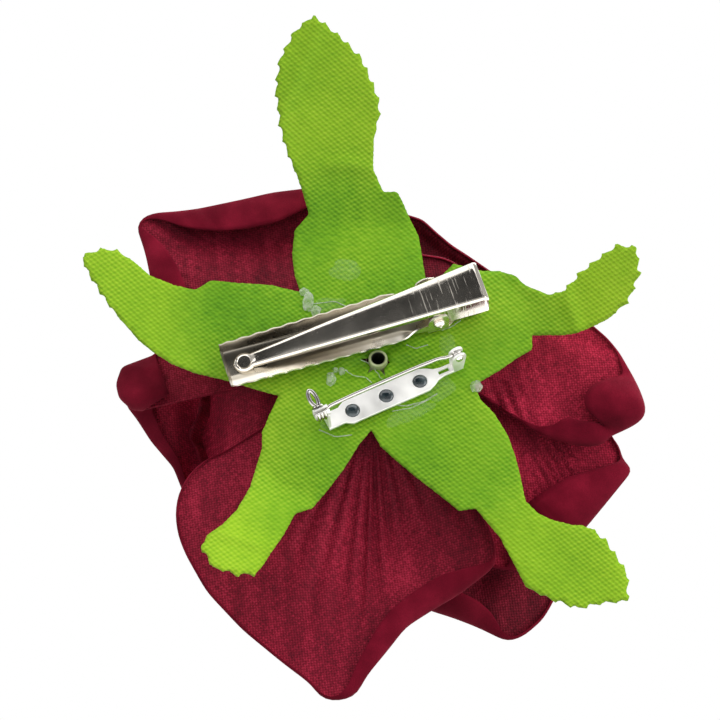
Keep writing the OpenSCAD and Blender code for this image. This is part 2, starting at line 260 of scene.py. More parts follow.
def petal_back_material(name, depth):
    """Woven, slightly lustrous back of the petal cloth, with its pressed veins; depth scales its colour,
    painting on the light and shade that falls on each petal.
    """
    m = Material(name, Sheen_Weight=0.03, Sheen_Roughness=0.4, Specular_IOR_Level=0.12)
    m.shader.inputs["Sheen Tint"].default_value = (1.0, 0.2, 0.3, 1)
    bias = 38
    weave = m.weave(0.00039, bias)
    place = m.cloth_place(bias)
    threads = [m.streaks(place, scale) for scale in ((2300, 420, 1), (420, 2300, 1))]
    along = m.node("ShaderNodeMapping", {"Vector": m.cloth_place(), "Scale": (14, 2.2, 1)}).outputs[0]
    veins = m.noise(26.0, 2.0, along)
    patch = m.noise(55.0, 3.0)
    slub = m.math("MULTIPLY", m.math("ADD", threads[0], threads[1]), 0.3)
    cloud = m.math("MULTIPLY", m.math("ADD", veins, patch), 0.22)
    tone = m.math("MULTIPLY_ADD", weave, 0.07, m.math("ADD", slub, cloud))
    dyes = [(0.36, (0.085, 0.0012, 0.009)), (0.52, (0.21, 0.0042, 0.02)), (0.68, (0.46, 0.02, 0.056))]
    # painted light and shade: depth brightens or darkens the whole dye of this petal
    colour = m.ramp(tone, [(mark, tuple(depth * c for c in dye)) for mark, dye in dyes])
    height = m.math("MULTIPLY_ADD", weave, 0.6, m.math("MULTIPLY", slub, 3.0))
    return m.finish(Base_Color=colour, Roughness=m.span(weave, -1, 1, 0.78, 0.6),
                    Normal=m.bump(height, 0.00012, 0.6))


def petal_front_material():
    """Flocked, velvet-like front of the petal cloth."""
    m = Material("petal_front", Sheen_Weight=0.16, Sheen_Roughness=0.35, Specular_IOR_Level=0.08)
    m.shader.inputs["Sheen Tint"].default_value = (1.0, 0.08, 0.16, 1)
    pile = m.noise(5200.0, 2.0)
    nap = m.noise(130.0, 4.0)
    tone = m.math("MULTIPLY_ADD", pile, 0.3, m.math("MULTIPLY", nap, 0.7))
    dyes = [(0.28, (0.085, 0.0008, 0.008)), (0.5, (0.16, 0.0022, 0.015)), (0.72, (0.26, 0.0055, 0.026))]
    colour = m.ramp(tone, dyes)
    height = m.math("MULTIPLY_ADD", pile, 1.0, m.math("MULTIPLY", nap, 0.8))
    return m.finish(Base_Color=colour, Roughness=m.span(nap, 0.3, 0.7, 0.95, 0.8),
                    Normal=m.bump(height, 0.00008, 0.6))


def calyx_material(name, turn):
    """Bright green printed polyester with an open plain weave."""
    m = Material(name, Specular_IOR_Level=0.16)
    weave = m.weave(0.00052, turn, 1.45)
    thread = m.streaks(m.cloth_place(turn), (420, 1900, 1))
    mottle = m.math("MULTIPLY_ADD", thread, 0.45, m.math("MULTIPLY", m.noise(45.0, 3.0), 0.55))
    tone = m.math("MULTIPLY_ADD", weave, m.span(m.noise(60.0, 2.0), 0.35, 0.65, 0.07, 0.2), mottle)
    leaf = m.ramp(tone, [(0.22, (0.055, 0.21, 0.002)), (0.5, (0.15, 0.375, 0.006)), (0.8, (0.3, 0.52, 0.02))])
    straw = m.ramp(tone, [(0.2, (0.2, 0.42, 0.006)), (0.5, (0.31, 0.54, 0.013)), (0.8, (0.43, 0.65, 0.03))])
    # the cloth is yellower towards the sepals' ends
    reach = m.length(m.cloth_place())
    drift = m.math("ADD", m.span(m.noise(28.0, 2.0), 0.45, 0.65, 0.0, 0.3),
                   m.span(reach, 0.036, 0.047, 0.0, 0.65))
    return m.finish(Base_Color=m.mix(drift, leaf, straw), Roughness=m.span(weave, -1, 1, 0.75, 0.55),
                    Normal=m.bump(weave, 0.0001, 0.7))


def metal_material(name, colour, roughness, scratch, grain, channel=1.0, scuffs=0.0):
    """Plated steel with fine scratches and slightly uneven plating. channel, below 1, sets how dark the
    painted shade on the upper half of the clip's channel is, and paints a highlight on its lower lip; scuffs
    adds marks across the clip's finger end."""
    m = Material(name, Metallic=1.0)
    fine = m.streaks(m.object_place(), grain, 3.0)
    smudge = m.noise(160.0, 4.0)
    tint = m.ramp(smudge, [(0.3, tuple(c * 0.88 for c in colour)), (0.7, colour)])
    rough = m.math("ADD", m.span(smudge, 0.3, 0.75, roughness * 0.7, roughness * 1.3),
                   m.span(fine, 0.64, 0.8, 0.0, scratch))
    # x along the clip and z across it
    place = {"Vector": m.object_place(), "Rotation": (0, CLIP_TILT, 0)}
    turned = m.node("ShaderNodeMapping", place).outputs[0]
    split = m.node("ShaderNodeSeparateXYZ", {0: turned})
    if channel < 1:
        # painted shade: the inside of the channel's upper half is darkened by the factor channel
        inside = m.math("MULTIPLY", m.span(split.outputs[2], -0.001, 0.0015, 0.0, 1.0),
                        m.span(split.outputs[1], -0.0034, -0.0022, 0.0, 1.0))
        shaded_channel_tint = tuple(c * channel for c in colour)
        tint = m.mix(inside, tint, (*shaded_channel_tint, 1))
        # painted highlight: the outer lip of the lower wall is painted pale cream
        lip_highlight_mask = m.span(split.outputs[2], -0.0039, -0.0033, 1.0, 0.0)
        tint = m.mix(lip_highlight_mask, tint, (0.84, 0.79, 0.71, 1))
    if scuffs:
        lines = m.streaks(turned, (3200, 300, 160))
        handled = m.span(split.outputs[0], 0.016, 0.034, 0.0, 1.0)
        marks = m.math("MULTIPLY", m.span(lines, 0.6, 0.72, 0.0, scuffs), handled)
        rough = m.math("ADD", rough, marks)
    return m.finish(Base_Color=tint, Roughness=rough, Normal=m.bump(fine, 0.00001, 0.12))


def glue_material(name, alpha, shine):
    """Clear, slightly milky hot-melt glue with small bubbles."""
    m = Material(name, Alpha=alpha, Specular_IOR_Level=0.6 * shine, Coat_Weight=0.5 * shine,
                 Coat_Roughness=0.08)
    bubble = m.noise(900.0, 2.0)
    return m.finish(Base_Color=m.ramp(bubble, [(0.35, (0.5, 0.66, 0.36)), (0.7, (0.85, 0.88, 0.78))]),
                    Roughness=m.span(bubble, 0.3, 0.7, 0.1, 0.3), Normal=m.bump(bubble, 0.0003, 0.6))


def glue_plug_material():
    """The same glue over the bar's holes, painted slate grey for the shade in the holes and its dark
    reflections.
    """
    m = Material("glue_plug", Specular_IOR_Level=0.6, Coat_Weight=0.5, Coat_Roughness=0.04)
    bubble = m.noise(700.0, 2.0)
    # painted shade and painted dark reflection: dark slate in place of the clear glue's own colour
    return m.finish(Base_Color=m.ramp(bubble, [(0.35, (0.012, 0.022, 0.027)), (0.7, (0.05, 0.078, 0.088))]),
                    Roughness=m.span(bubble, 0.3, 0.7, 0.08, 0.25), Normal=m.bump(bubble, 0.00015, 0.4))


def plastic_material():
    """Pale yellow-green moulded plastic of the stem tube."""
    m = Material("stem_plastic", Specular_IOR_Level=0.5)
    cloud = m.noise(300.0, 3.0)
    outside = m.ramp(cloud, [(0.3, (0.3, 0.36, 0.13)), (0.7, (0.5, 0.56, 0.3))])
    # the inside of the bore is painted nearly black: painted shade in the deep hole
    middle = m.node("ShaderNodeVectorMath", {0: m.object_place(), 1: tuple(-HUB)}, operation="ADD").outputs[0]
    across = m.node("ShaderNodeVectorMath", {0: middle, 1: (1, 0, 1)}, operation="MULTIPLY").outputs[0]
    clear_of_bore_shade = m.span(m.length(across), 0.00142, 0.0016, 0.0, 1.0)
    return m.finish(Base_Color=m.mix(clear_of_bore_shade, (0.012, 0.013, 0.006, 1), outside),
                    Roughness=m.span(cloud, 0.3, 0.7, 0.3, 0.5), Normal=m.bump(cloud, 0.0001, 0.4))


def foam_material():
    """Pale open-celled foam of the bud core."""
    m = Material("foam")
    cells = m.noise(1500.0, 3.0)
    return m.finish(Base_Color=m.ramp(cells, [(0.3, (0.5, 0.44, 0.4)), (0.7, (0.8, 0.76, 0.72))]),
                    Roughness=m.span(cells, 0.3, 0.7, 0.8, 1.0), Normal=m.bump(cells, 0.0003, 0.7))


# Each petal's back is painted lighter or darker for the light and shade that falls on it: lit and shaded
# copies of one material.
BACK_PAINTED_LIGHT_AND_SHADE = (1.02, 0.9, 1.4, 0.62, 1.25, 1.5, 0.72, 0.66, 1.5)
petal_backs = {f"outer_petal_{i}": petal_back_material(f"petal_back_{i}", tone)
               for i, tone in enumerate(BACK_PAINTED_LIGHT_AND_SHADE, 1)}
petal_back = petal_back_material("petal_back", 1.0)
petal_front = petal_front_material()
calyx_green = calyx_material("calyx_fabric", 8)
# the jaw's nickel carries painted shade in its channel and a painted highlight on its lower lip
nickel = metal_material("nickel", (0.5, 0.455, 0.375), 0.3, 0.1, (300, 300, 5000), channel=0.34)
rivet_nickel = metal_material("rivet_nickel", (0.8, 0.76, 0.68), 0.2, 0.1, (900, 900, 900))
lever_nickel = metal_material("lever_nickel", (0.74, 0.69, 0.61), 0.15, 0.2, (9000, 900, 1300), scuffs=0.4)
wire_steel = metal_material("wire_steel", (0.56, 0.54, 0.51), 0.14, 0.1, (300, 300, 300))
silver = metal_material("bright_steel", (0.9, 0.88, 0.84), 0.16, 0.12, (900, 900, 2500))
bar_steel = metal_material("bar_steel", (0.97, 0.96, 0.93), 0.5, 0.1, (900, 900, 2500))
bar_steel.node_tree.nodes["Principled BSDF"].inputs["Metallic"].default_value = 0.6
brass = metal_material("spring_wire", (0.72, 0.58, 0.34), 0.25, 0.1, (2000, 2000, 2000))
glue = glue_material("hot_glue", 0.4, 1.0)
glue_skin = glue_material("hot_glue_skin", 0.07, 0.3)
glue_plug = glue_plug_material()
tube_plastic = plastic_material()
foam = foam_material()

# ---------------------------------------------------------------- petals
# Each petal follows a bowl round the flower's axis: direction, length, half width, slope at
# the root, slope at the rim, depth of the root. Bowls are nested, so petals stay apart. An outer
# petal's direction is the CAD's: here its outline sets where it shows.
ROOT_RADIUS = 2.6
OUTER_BOWLS = [
    (264, 71, 33, 14, 0, 0.8), (137, 64, 31, 17, 1.5, 1.3), (6, 57, 30, 20, 3, 1.8),
    (62, 46, 25, 23, 4.5, 2.3), (187, 57, 27, 26, 6, 2.8), (338, 58, 27, 29, 7.5, 3.3),
    (299, 63, 25, 32, 9, 3.8), (84, 46, 24, 35, 10.5, 4.3), (190, 55, 24, 38, 12, 4.8)]
MIDDLE_BOWLS = [(40 + 144 * j, 46 - j, 24 - j, 34 + 3 * j, 34 + 8 * j, 5 + 0.6 * j) for j in range(5)]
INNER_BOWLS = [(100 + 144 * j, 40 - j, 19 - j, 49 + 2.5 * j, 78 + 4 * j, 8.3 + 0.6 * j) for j in range(5)]
BUD_BOWLS = [(20 + 120 * j, 34 - j, 12, 62 + 3 * j, 94 + 3 * j, 12.8 + 1.5 * j) for j in range(3)]
CLOTH = 0.34


def profile(bowl, steps=80, reach=1.25, curl=0.0):
    """Radius and depth along a bowl, with the slope at each step; curl turns the rim back."""
    length, slope0, slope1 = bowl[1], bowl[3], bowl[4]
    s = np.linspace(0, reach, steps)
    slope = np.radians(slope0 + (slope1 - slope0) * np.minimum(s, 1) - curl * smooth(0.8, 1.06, s))
    step = length * np.diff(s)
    middle = (slope[1:] + slope[:-1]) / 2
    r = ROOT_RADIUS + np.concatenate([[0], np.cumsum(step * np.cos(middle))])
    y = bowl[5] + np.concatenate([[0], np.cumsum(step * np.sin(middle))])
    return s, r, y, slope


def on_bowl(bowl, x, v, lift):
    """Points of the bowl, lifted towards the back, that show at x and v."""
    _, r, y, _ = profile(bowl)
    depth = np.zeros_like(x)
    for _ in range(14):
        p = seen(x, v, depth - lift)
        depth = np.interp(np.hypot(p[..., 0], p[..., 2]), r, y)
    return seen(x, v, depth - lift), depth


def declare_petal(piece, node):
    """Says what a petal rides and replaces."""
    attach(piece, "flower")
    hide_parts(node)


# Width of the narrow roll at a plain rim, and how far a wide roll stands up for its width.
RIM_ROLL = 0.22
FLAP_LIFT = 0.42
BODY_ROWS, FLAP_ROWS, PETAL_COLUMNS = 34, 12, 110


def seen_petal(node, bowl, outline, root, relief):
    """A petal whose outline is given as it shows from the back: points of its silhouette, in
    order anticlockwise, some with the point where the edge of the rolled rim comes to lie."""
    path = []
    for x, v, *rim in outline:
        if not rim:
            away = math.hypot(x - root[0], v - root[1])
            rim = x - (x - root[0]) / away * RIM_ROLL, v - (v - root[1]) / away * RIM_ROLL
        path.append((x, v, *rim))
    path = resample(path, PETAL_COLUMNS, 2)
    q = np.linspace(0, 1, PETAL_COLUMNS)[None, :]
    s = np.linspace(0.05, 1, BODY_ROWS)[:, None]
    t = np.linspace(0, 1, FLAP_ROWS + 1)[1:, None]
    ex, ev, fx, fv = path.T
    body_x = root[0] + (ex - root[0]) * s
    body_v = root[1] + (ev - root[1]) * s
    width = np.hypot(fx - ex, fv - ev)
    turn = 1 - np.cos(t * math.pi / 2)
    flap_x = ex + (fx - ex) * turn
    flap_v = ev + (fv - ev) * turn
    x, v = np.vstack([body_x, flap_x]), np.vstack([body_v, flap_v])
    body_lift = relief(body_x, body_v, s + 0 * q, q + 0 * s)
    flap_height = np.minimum(0.25 + FLAP_LIFT * width, 5.5)
    puff = np.sin(t * math.pi / 2) ** 0.8 * (1 - 0.25 * smooth(0.6, 1, t) * smooth(5, 12, width))
    lift = np.vstack([body_lift, body_lift[-1:] + flap_height * puff])
    points, depth = on_bowl(bowl, x, v, lift)
    # the rolled rim keeps the depth of its fold, so it lies level over the petal
    fold = depth[BODY_ROWS - 1]
    ease = smooth(0, 1, t) * 0.6
    flap_depth = fold * (1 - ease) + depth[BODY_ROWS:] * ease - lift[BODY_ROWS:]
    points[BODY_ROWS:] = seen(flap_x, flap_v, flap_depth)
    # the weave is laid flat across the petal, and runs on over the rolled rim
    flat = np.stack([points[..., 0], points[..., 2] + np.vstack([0 * body_x, width * t])], -1)
    piece = make(node + "_cloth", points.reshape(-1, 3), grid_faces(len(x), PETAL_COLUMNS), flat)
    thicken(piece, CLOTH, [petal_backs[node], petal_front])
    declare_petal(piece, node)


def pleats(q, centres, width):
    """Pressed creases that fan out from the hub: a sharp valley at each share of the fan."""
    return sum(-depth * np.exp(-((q - c) / width) ** 2) for c, depth in centres)


# A relief gives a petal's folds in millimetres towards the back, at a place x, v, at share s of
# the way from root to rim and share q of the way along the outline.
def relief_a(x, v, s, q):
    creases = [(0.4, 0.7), (0.46, 1.0), (0.52, 1.4), (0.57, 1.3), (0.62, 1.5), (0.67, 1.3), (0.72, 1.2),
               (0.77, 1.0), (0.83, 0.8)]
    fan = pleats(q, creases, 0.014)
    hollow = -4.2 * np.exp(-((x - 4) / 12) ** 2 - ((v + 37) / 14) ** 2)
    lobes = 2.2 * np.exp(-((x + 31) / 9) ** 2 - ((v + 38) / 14) ** 2)
    fan = fan * smooth(0.15, 0.4, s) * (1 - smooth(0.6, 0.95, s))
    return fan + hollow + lobes + 0.5 * wrinkle(x, v, 9, 1)


def relief_b(x, v, s, q):
    return 1.4 * np.exp(-((v - 0.16 * x + 1) / 5) ** 2) * smooth(0.3, 0.8, s) + 0.4 * wrinkle(x, v, 7, 2)


def relief_b_low(x, v, s, q):
    valley = -6.5 * np.exp(-((x + 37) / 4.5) ** 2) * smooth(-24, -10, -abs(v + 15))
    swell = 3.0 * np.exp(-((x + 25) / 6) ** 2)
    return valley + swell + 0.5 * wrinkle(x, v, 6, 3)


def relief_c(x, v, s, q):
    fine = 0.16 * np.sin(2 * math.pi * 30 * q) * smooth(0.3, 0.6, s)
    hollow = -4.0 * np.exp(-((x + 27) / 16) ** 2 - ((v - 27) / 7) ** 2)
    return fine + hollow + 0.5 * wrinkle(x, v, 8, 4)


def relief_d(x, v, s, q):
    return 0.5 * wrinkle(x, v, 6, 5)


def relief_d_back(x, v, s, q):
    return -3.4 * smooth(1.0, 0.86, s) * smooth(0.3, 0.6, s) + 0.5 * wrinkle(x, v, 6, 9)


def relief_e(x, v, s, q):
    fan = 0.55 * np.sin(6.5 * (x + 0.42 * v) / 2.9) * np.exp(-((x - 28) / 6) ** 2)
    crease = -0.9 * np.exp(-((v - 5 + 0.25 * (x - 40)) / 1.6) ** 2) * smooth(36, 42, x)
    swell = 1.6 * np.exp(-((x - 44) / 8) ** 2 - ((v - 3) / 7) ** 2)
    return fan + crease + swell + 0.4 * wrinkle(x, v, 7, 6)


def relief_f(x, v, s, q):
    fan = 0.7 * np.sin(7.5 * (x + 0.55 * v) / 2.4) * np.exp(-((x - 38) / 7) ** 2)
    return fan + 0.5 * wrinkle(x, v, 8, 7)


def relief_g(x, v, s, q):
    return -2.5 * np.exp(-((x - 21) / 5) ** 2 - ((v + 45) / 5) ** 2) + 0.5 * wrinkle(x, v, 8, 8)


PETAL_A = [
    (-22, -13), (-27, -16), (-31.5, -19), (-37, -21.5), (-40, -24.5), (-42, -28.5), (-42.5, -32.5),
    (-42, -36.5), (-40.5, -40.5), (-36, -48.5), (-28.5, -56.5), (-20, -63.5), (-14, -68), (-12, -71),
    (-9, -71.5), (-5, -70.5, -6.5, -68.8), (-3, -66.5, -5, -64.5), (2, -60.5, -1, -57.5), (5.5, -56, 2, -53),
    (11, -52.5, 7, -49), (17, -49, 13, -45.2), (22.8, -44.5, 20.5, -43.2), (24.6, -43), (24.3, -38.4),
    (22.8, -34.4), (20.5, -31), (18, -25), (16, -18)]
PETAL_B = [
    (-18, 27), (-26, 26), (-33, 21), (-38, 14), (-42, 8, -41.5, 8), (-47, 1, -46.8, 0.8),
    (-53.8, -1.5, -45.8, -2), (-55, -4.9, -45, -4.2), (-54.4, -7.7, -44.5, -5.6),
    (-51.7, -10.2, -44.2, -6.5), (-49.5, -10.3, -44.2, -6.8)]
PETAL_B_LOW = [
    (-34, 14), (-42, 8), (-47, 0), (-50, -6, -47, -7), (-53, -9, -47.2, -9.2), (-50.5, -12.2, -47.2, -10.8),
    (-47.5, -16.9, -45.4, -15.2), (-42.8, -22.4, -42, -20.5), (-41.2, -26.5, -40.2, -25.7), (-39, -32),
    (-34, -38), (-26, -42), (-16, -43)]
PETAL_C = [
    (9, 14), (8, 24), (4, 31), (-1, 35.5), (-5, 37, -5, 33), (-10, 36.8, -10, 33.6), (-16, 36, -14.5, 32.5),
    (-22, 35.3, -21, 29.2), (-28.5, 33.8, -27.5, 27.9), (-38, 31.8, -34, 27.3), (-43, 31.2, -40.5, 28),
    (-46.5, 31, -45.3, 29.8), (-49.2, 30.2), (-50.5, 28.2), (-49.7, 26, -48.7, 27.3),
    (-48.9, 23.5, -45.5, 24.9), (-48.2, 20.5, -42.6, 20.8), (-47.6, 17, -40.5, 16), (-46, 12, -39, 11),
    (-43, 7, -38, 7), (-36, 0), (-28, -2)]
PETAL_D_FRONT = [
    (29, -4), (30, 3), (27, 9), (22, 14), (19, 18), (16.3, 20.5), (13.7, 21.6), (9.5, 22.2), (5, 22.6),
    (0, 23), (-7, 23), (-13, 19)]
PETAL_D_BACK = [
    (35, -6), (37, 3), (33, 11), (27, 16.5), (21.9, 20), (19, 22), (15.6, 24.2), (12.5, 26.8), (9.5, 29.6),
    (6.9, 30.4), (3, 31.6), (-3, 33), (-10, 32), (-16, 28)]
PETAL_E = [
    (26, -9.5), (28.9, -11.8), (33.3, -14.7, 33.7, -14), (36.7, -16.2, 36.9, -13.8),
    (40.5, -17.3, 39.6, -11.9), (44.4, -17.9, 42.6, -12.7), (47.3, -17.4, 46, -13), (48.8, -15.7, 47.8, -14),
    (51.2, -14.7, 47.6, -13), (54.1, -13.3, 45.2, -11.6), (56, -11.8, 43.6, -9.8), (56.4, -10, 43.4, -7.6),
    (55.6, -7.5, 44.8, -5.3), (54.6, -5.2, 48, -4), (53.4, -3, 52, -3.3), (50.7, 1.7), (48.3, 4.6),
    (45.4, 7.1), (41, 11), (36, 13.5), (29, 15.5), (22, 16.5), (15, 16)]
PETAL_F = [
    (16, -40), (22, -43), (28, -44), (33, -43, 28, -33), (40, -39, 31, -30.5), (43.9, -34.8, 35, -27.4),
    (47.3, -30.7, 40, -24.6), (51.2, -25.9, 46.4, -22.6), (53.5, -23, 50.6, -21.5), (51.4, -20.9),
    (50.7, -18.1), (48.8, -15.7), (48.5, -8), (47, 0), (42, 7), (34, 11), (26, 13)]
PETAL_G = [
    (-22, -36), (-18, -44), (-10, -47), (-3, -47.5), (1, -48, 7, -44), (6, -50.5, 12, -46),
    (11.2, -52.5, 17, -48.6), (16, -54, 20.7, -50.4), (20.7, -55.8, 23.6, -52.8), (23.7, -57.2, 25.1, -55.2),
    (26.3, -58.5, 25.9, -57.2), (28, -58.8), (30.8, -57.6), (34.5, -54.4), (36.7, -50.7), (39, -45),
    (41, -38), (43, -30), (44, -21), (41, -13)]

# Number, outline, the point that the petal spreads from, and its relief.
SEEN_PETALS = [
    (1, PETAL_A, (-1, -5), relief_a), (2, PETAL_C, (-3, 4), relief_c), (3, PETAL_E, (7, 2), relief_e),
    (4, PETAL_D_FRONT, (2, 4), relief_d), (5, PETAL_B, (-4, 0), relief_b), (6, PETAL_F, (5, -2), relief_f),
    (7, PETAL_G, (4, -6), relief_g), (8, PETAL_D_BACK, (2, 4), relief_d_back),
    (9, PETAL_B_LOW, (-4, -1), relief_b_low)]
for number, outline, root, relief in SEEN_PETALS:
    seen_petal(f"outer_petal_{number}", OUTER_BOWLS[number - 1], outline, root, relief)


def hidden_petal(node, bowl, widest, curl, seed):
    """A petal of the rose's face: an egg-shaped piece of its bowl with a rolled, wavy rim."""
    rows, cols = 34, 45
    share, r, y, slope = profile(bowl, 160, 1.12, curl)
    tip = np.linspace(-1, 1, cols)[None, :]
    s = np.linspace(0, 1, rows)[:, None] ** 0.9 * (1.06 - 0.05 * np.abs(tip) ** 1.5)
    half = bowl[2] * np.sqrt(np.maximum(1 - ((s - 0.6) / np.where(s < 0.6, 0.75, 0.5)) ** 2, 0.05))
    radius, depth = np.interp(s, share, r), np.interp(s, share, y)
    tilt = np.interp(s, share, slope)
    root_span = np.radians(43 + 6 * (radius - ROOT_RADIUS))
    span = np.minimum(np.radians(widest), np.minimum(half / radius, root_span))
    angle = math.radians(bowl[0]) + tip * span
    wave = 0.9 * np.sin(tip * 4.2 + seed) + 0.5 * np.sin(tip * 9.1 + 2 * seed)
    ripple = wave * smooth(0.45, 1, s) ** 2 * 1.1
    side = -1.3 * np.abs(tip) ** 5 * smooth(0.3, 0.8, s)
    lift = ripple * 0.8 + side + 0.15 * wrinkle(angle * radius, s * bowl[1], 5, seed)
    radius = radius - lift * np.sin(tilt)
    depth = depth + lift * np.cos(tilt)
    points = np.stack([radius * np.cos(angle), depth, radius * np.sin(angle)], -1)
    uv = np.stack([tip * span * radius, s * bowl[1] + 0 * tip], -1)
    piece = make(node + "_cloth", points.reshape(-1, 3), grid_faces(rows, cols), uv)
    thicken(piece, CLOTH, [petal_back, petal_front])
    declare_petal(piece, node)


# Each group's bowls, the widest half angle of a petal and how far its rim curls, in degrees.
FACE_GROUPS = [("middle", MIDDLE_BOWLS, 75, 95), ("inner", INNER_BOWLS, 75, 105), ("bud", BUD_BOWLS, 82, 60)]
for group, bowls, widest, curl in FACE_GROUPS:
    for j, bowl in enumerate(bowls):
        # the first bud petal is the scroll
        if (group, j) != ("bud", 0):
            hidden_petal(f"{group}_petal_{j + 1}", bowl, widest, curl, j + len(group))


def build_scroll():
    """The innermost petal, rolled up tightly round the core."""
    rows, cols = 34, 96
    turn = np.linspace(0, 2 * math.pi * 1.65, cols)[None, :]
    s = np.linspace(0, 1, rows)[:, None]
    share = turn / turn.max()
    barrel = 0.55 + 0.5 * np.sin(math.pi * (0.12 + 0.72 * s))
    flare = 0.9 * smooth(0.82, 1, s) ** 2 * share
    radius = (1.0 + 3.5 * share) * barrel + flare + 0.12 * np.sin(5 * turn) * s
    depth = 19.5 + (24.2 - 2.6 * share + 0.5 * np.sin(2.3 * turn)) * s
    points = np.stack([radius * np.cos(turn + 0.6), depth, radius * np.sin(turn + 0.6)], -1)
    uv = np.stack([turn * (1.0 + 1.75 * share) + 0 * s, 25 * s + 0 * turn], -1)
    piece = make("bud_petal_1_cloth", points.reshape(-1, 3), grid_faces(rows, cols), uv)
    thicken(piece, CLOTH, [petal_front, petal_front])
    declare_petal(piece, "bud_petal_1")


build_scroll()

# ---------------------------------------------------------------- calyx
# Outline of the five joined sepals as it shows from the back, anticlockwise. A third value
# marks points whose edge is pinked.
SEPAL_TOP_LEFT = [
    (-13.5, 73, 1), (-17.5, 69.5, 1), (-20.5, 64, 1), (-21.5, 57.5, 1), (-20.5, 49.5, 1), (-19.5, 45.5, 1),
    (-16, 36.5), (-14.5, 31), (-17.5, 27.5), (-18, 22.5), (-17.5, 18)]
SEPAL_LEFT = [
    (-16.3, 14.5), (-22.5, 16), (-30, 16.5), (-35, 17), (-38.5, 15), (-43, 16), (-48, 18), (-51.5, 21),
    (-55.5, 23.5, 1), (-59, 23.5, 1), (-62.5, 22, 1), (-61, 18.5, 1), (-57.5, 13, 1), (-54, 8.5),
    (-50.5, 4.5), (-47.5, 2), (-43.5, -0.5), (-38.5, -2.5), (-32, -4), (-25.5, -6)]
SEPAL_LOW_LEFT = [
    (-21, -7.3), (-23, -11.5), (-24.5, -15), (-24.5, -18.5), (-25.5, -21.5), (-27, -26.5), (-30, -31.5),
    (-33, -34.5), (-36, -36.5), (-37.5, -39, 1), (-36, -41.5, 1), (-35, -43.5, 1), (-32.5, -44, 1),
    (-30, -45, 1), (-27.5, -44.7, 1), (-26, -45, 1), (-24.5, -43), (-22.5, -40), (-20, -36.5), (-17.5, -32),
    (-14, -31), (-11, -27.5), (-7.5, -23), (-4, -17.5)]
SEPAL_LOW_RIGHT = [
    (-1.5, -14.5), (0.5, -18), (4.5, -21.5), (8, -24.5), (12, -27.5), (17, -31.5), (20.5, -31),
    (22.5, -33.5), (25.5, -37), (28.5, -42.5), (31, -47.5), (36, -50, 1), (42, -52, 1), (47, -51, 1),
    (52.5, -50.5, 1), (52.5, -45, 1), (51, -42.5, 1), (48, -38, 1), (44.5, -35, 1), (40.5, -34.5),
    (36.5, -33.5), (33.5, -32), (31, -29.5), (30, -24.5), (29, -20.5), (27.5, -16), (24.5, -11), (21.5, -8)]
SEPAL_RIGHT = [
    (20.3, -5), (25.5, -2), (29, 0.5), (32.5, 2.5), (32.5, 5.5), (39, 5.5), (42, 6), (45.5, 7.5), (48.5, 9),
    (52.5, 12.5, 1), (54, 16, 1), (55, 18.5, 1), (54.5, 24, 1), (50.5, 24.5, 1), (47, 22, 1),
    (42.5, 18.5, 1), (40.5, 16, 1), (38.5, 14.5, 1), (36, 14), (33.5, 15), (31, 16), (29, 18), (25.5, 19),
    (22, 19), (16, 20.5)]
SEPAL_TOP_RIGHT = [
    (10.5, 15), (9.3, 22.4), (8.7, 26.3), (6.5, 30.7), (5.1, 34), (4.1, 35.7), (1.2, 35.7), (-0.9, 40.4),
    (-0.8, 46.5), (0.5, 52.5, 1), (0, 56, 1), (-1.5, 59.5, 1), (-3.5, 64, 1), (-8, 68.5, 1)]
# Direction of each sepal and how far its outer part bends back, in degrees.
SEPALS = [(24, 28), (100.5, 26), (159, 18), (238, 28), (311.5, 5)]
SEPAL_NECK = 34.0
CALYX_THICK = 0.3
HUB_HOLE = 2.15
# Spacing of the points along the cut edge, and the pitch of the pinking shears.
CUT_STEP = 0.42
PINK_PITCH = 3.3


def calyx_outline():
    """The calyx's cut edge: pinked at the sepals' ends and slightly frayed all round."""
    parts = (SEPAL_TOP_LEFT, SEPAL_LEFT, SEPAL_LOW_LEFT, SEPAL_LOW_RIGHT, SEPAL_RIGHT, SEPAL_TOP_RIGHT)
    path = [(p[0], p[1], p[2] if len(p) == 3 else 0) for part in parts for p in part]
    path.append(path[0])
    total = sum(math.dist(a[:2], b[:2]) for a, b in zip(path, path[1:]))
    even = resample(path, int(total / CUT_STEP))[:-1]
    step = np.roll(even, -1, 0) - np.roll(even, 1, 0)
    out = np.stack([step[:, 1], -step[:, 0]], -1)
    out /= np.linalg.norm(out, axis=1)[:, None] + 1e-9
    place = np.arange(len(even)) * CUT_STEP
    teeth = 0.75 * (np.abs((place / PINK_PITCH) % 1 - 0.25) / 0.75 - 0.4) * even[:, 2]
    fray = 0.13 * np.array([noise.noise(Vector((p * 2.1, 3.3, 0))) for p in place])
    return even[:, :2] + out * (teeth + fray)[:, None]


def inside(points, polygon):
    """Which points lie inside a closed polygon."""
    x, y = points[:, 0], points[:, 1]
    odd = np.zeros(len(points), bool)
    a, b = polygon, np.roll(polygon, -1, 0)
    for (x0, y0), (x1, y1) in zip(a, b):
        crosses = (y0 > y) != (y1 > y)
        odd ^= crosses & (x < (x1 - x0) * (y - y0) / (y1 - y0 + 1e-12) + x0)
    return odd


def calyx_depth(x, z):
    """Depth of the calyx at a place round the hub: flat, then each sepal bends back."""
    d = np.hypot(x, z)
    turn = np.degrees(np.arctan2(z, x)) % 360
    bend = np.zeros_like(d)
    nearest = np.full_like(d, 999.0)
    for direction, back in SEPALS:
        gap = np.abs((turn - direction + 180) % 360 - 180)
        bend = np.where(gap < nearest, back, bend)
        nearest = np.minimum(gap, nearest)
    past = np.maximum(d - SEPAL_NECK, 0)
    past = past * past / (past + 3)
    return 0.05 * np.maximum(np.minimum(d, SEPAL_NECK) - 8, 0) - past * np.tan(np.radians(bend))


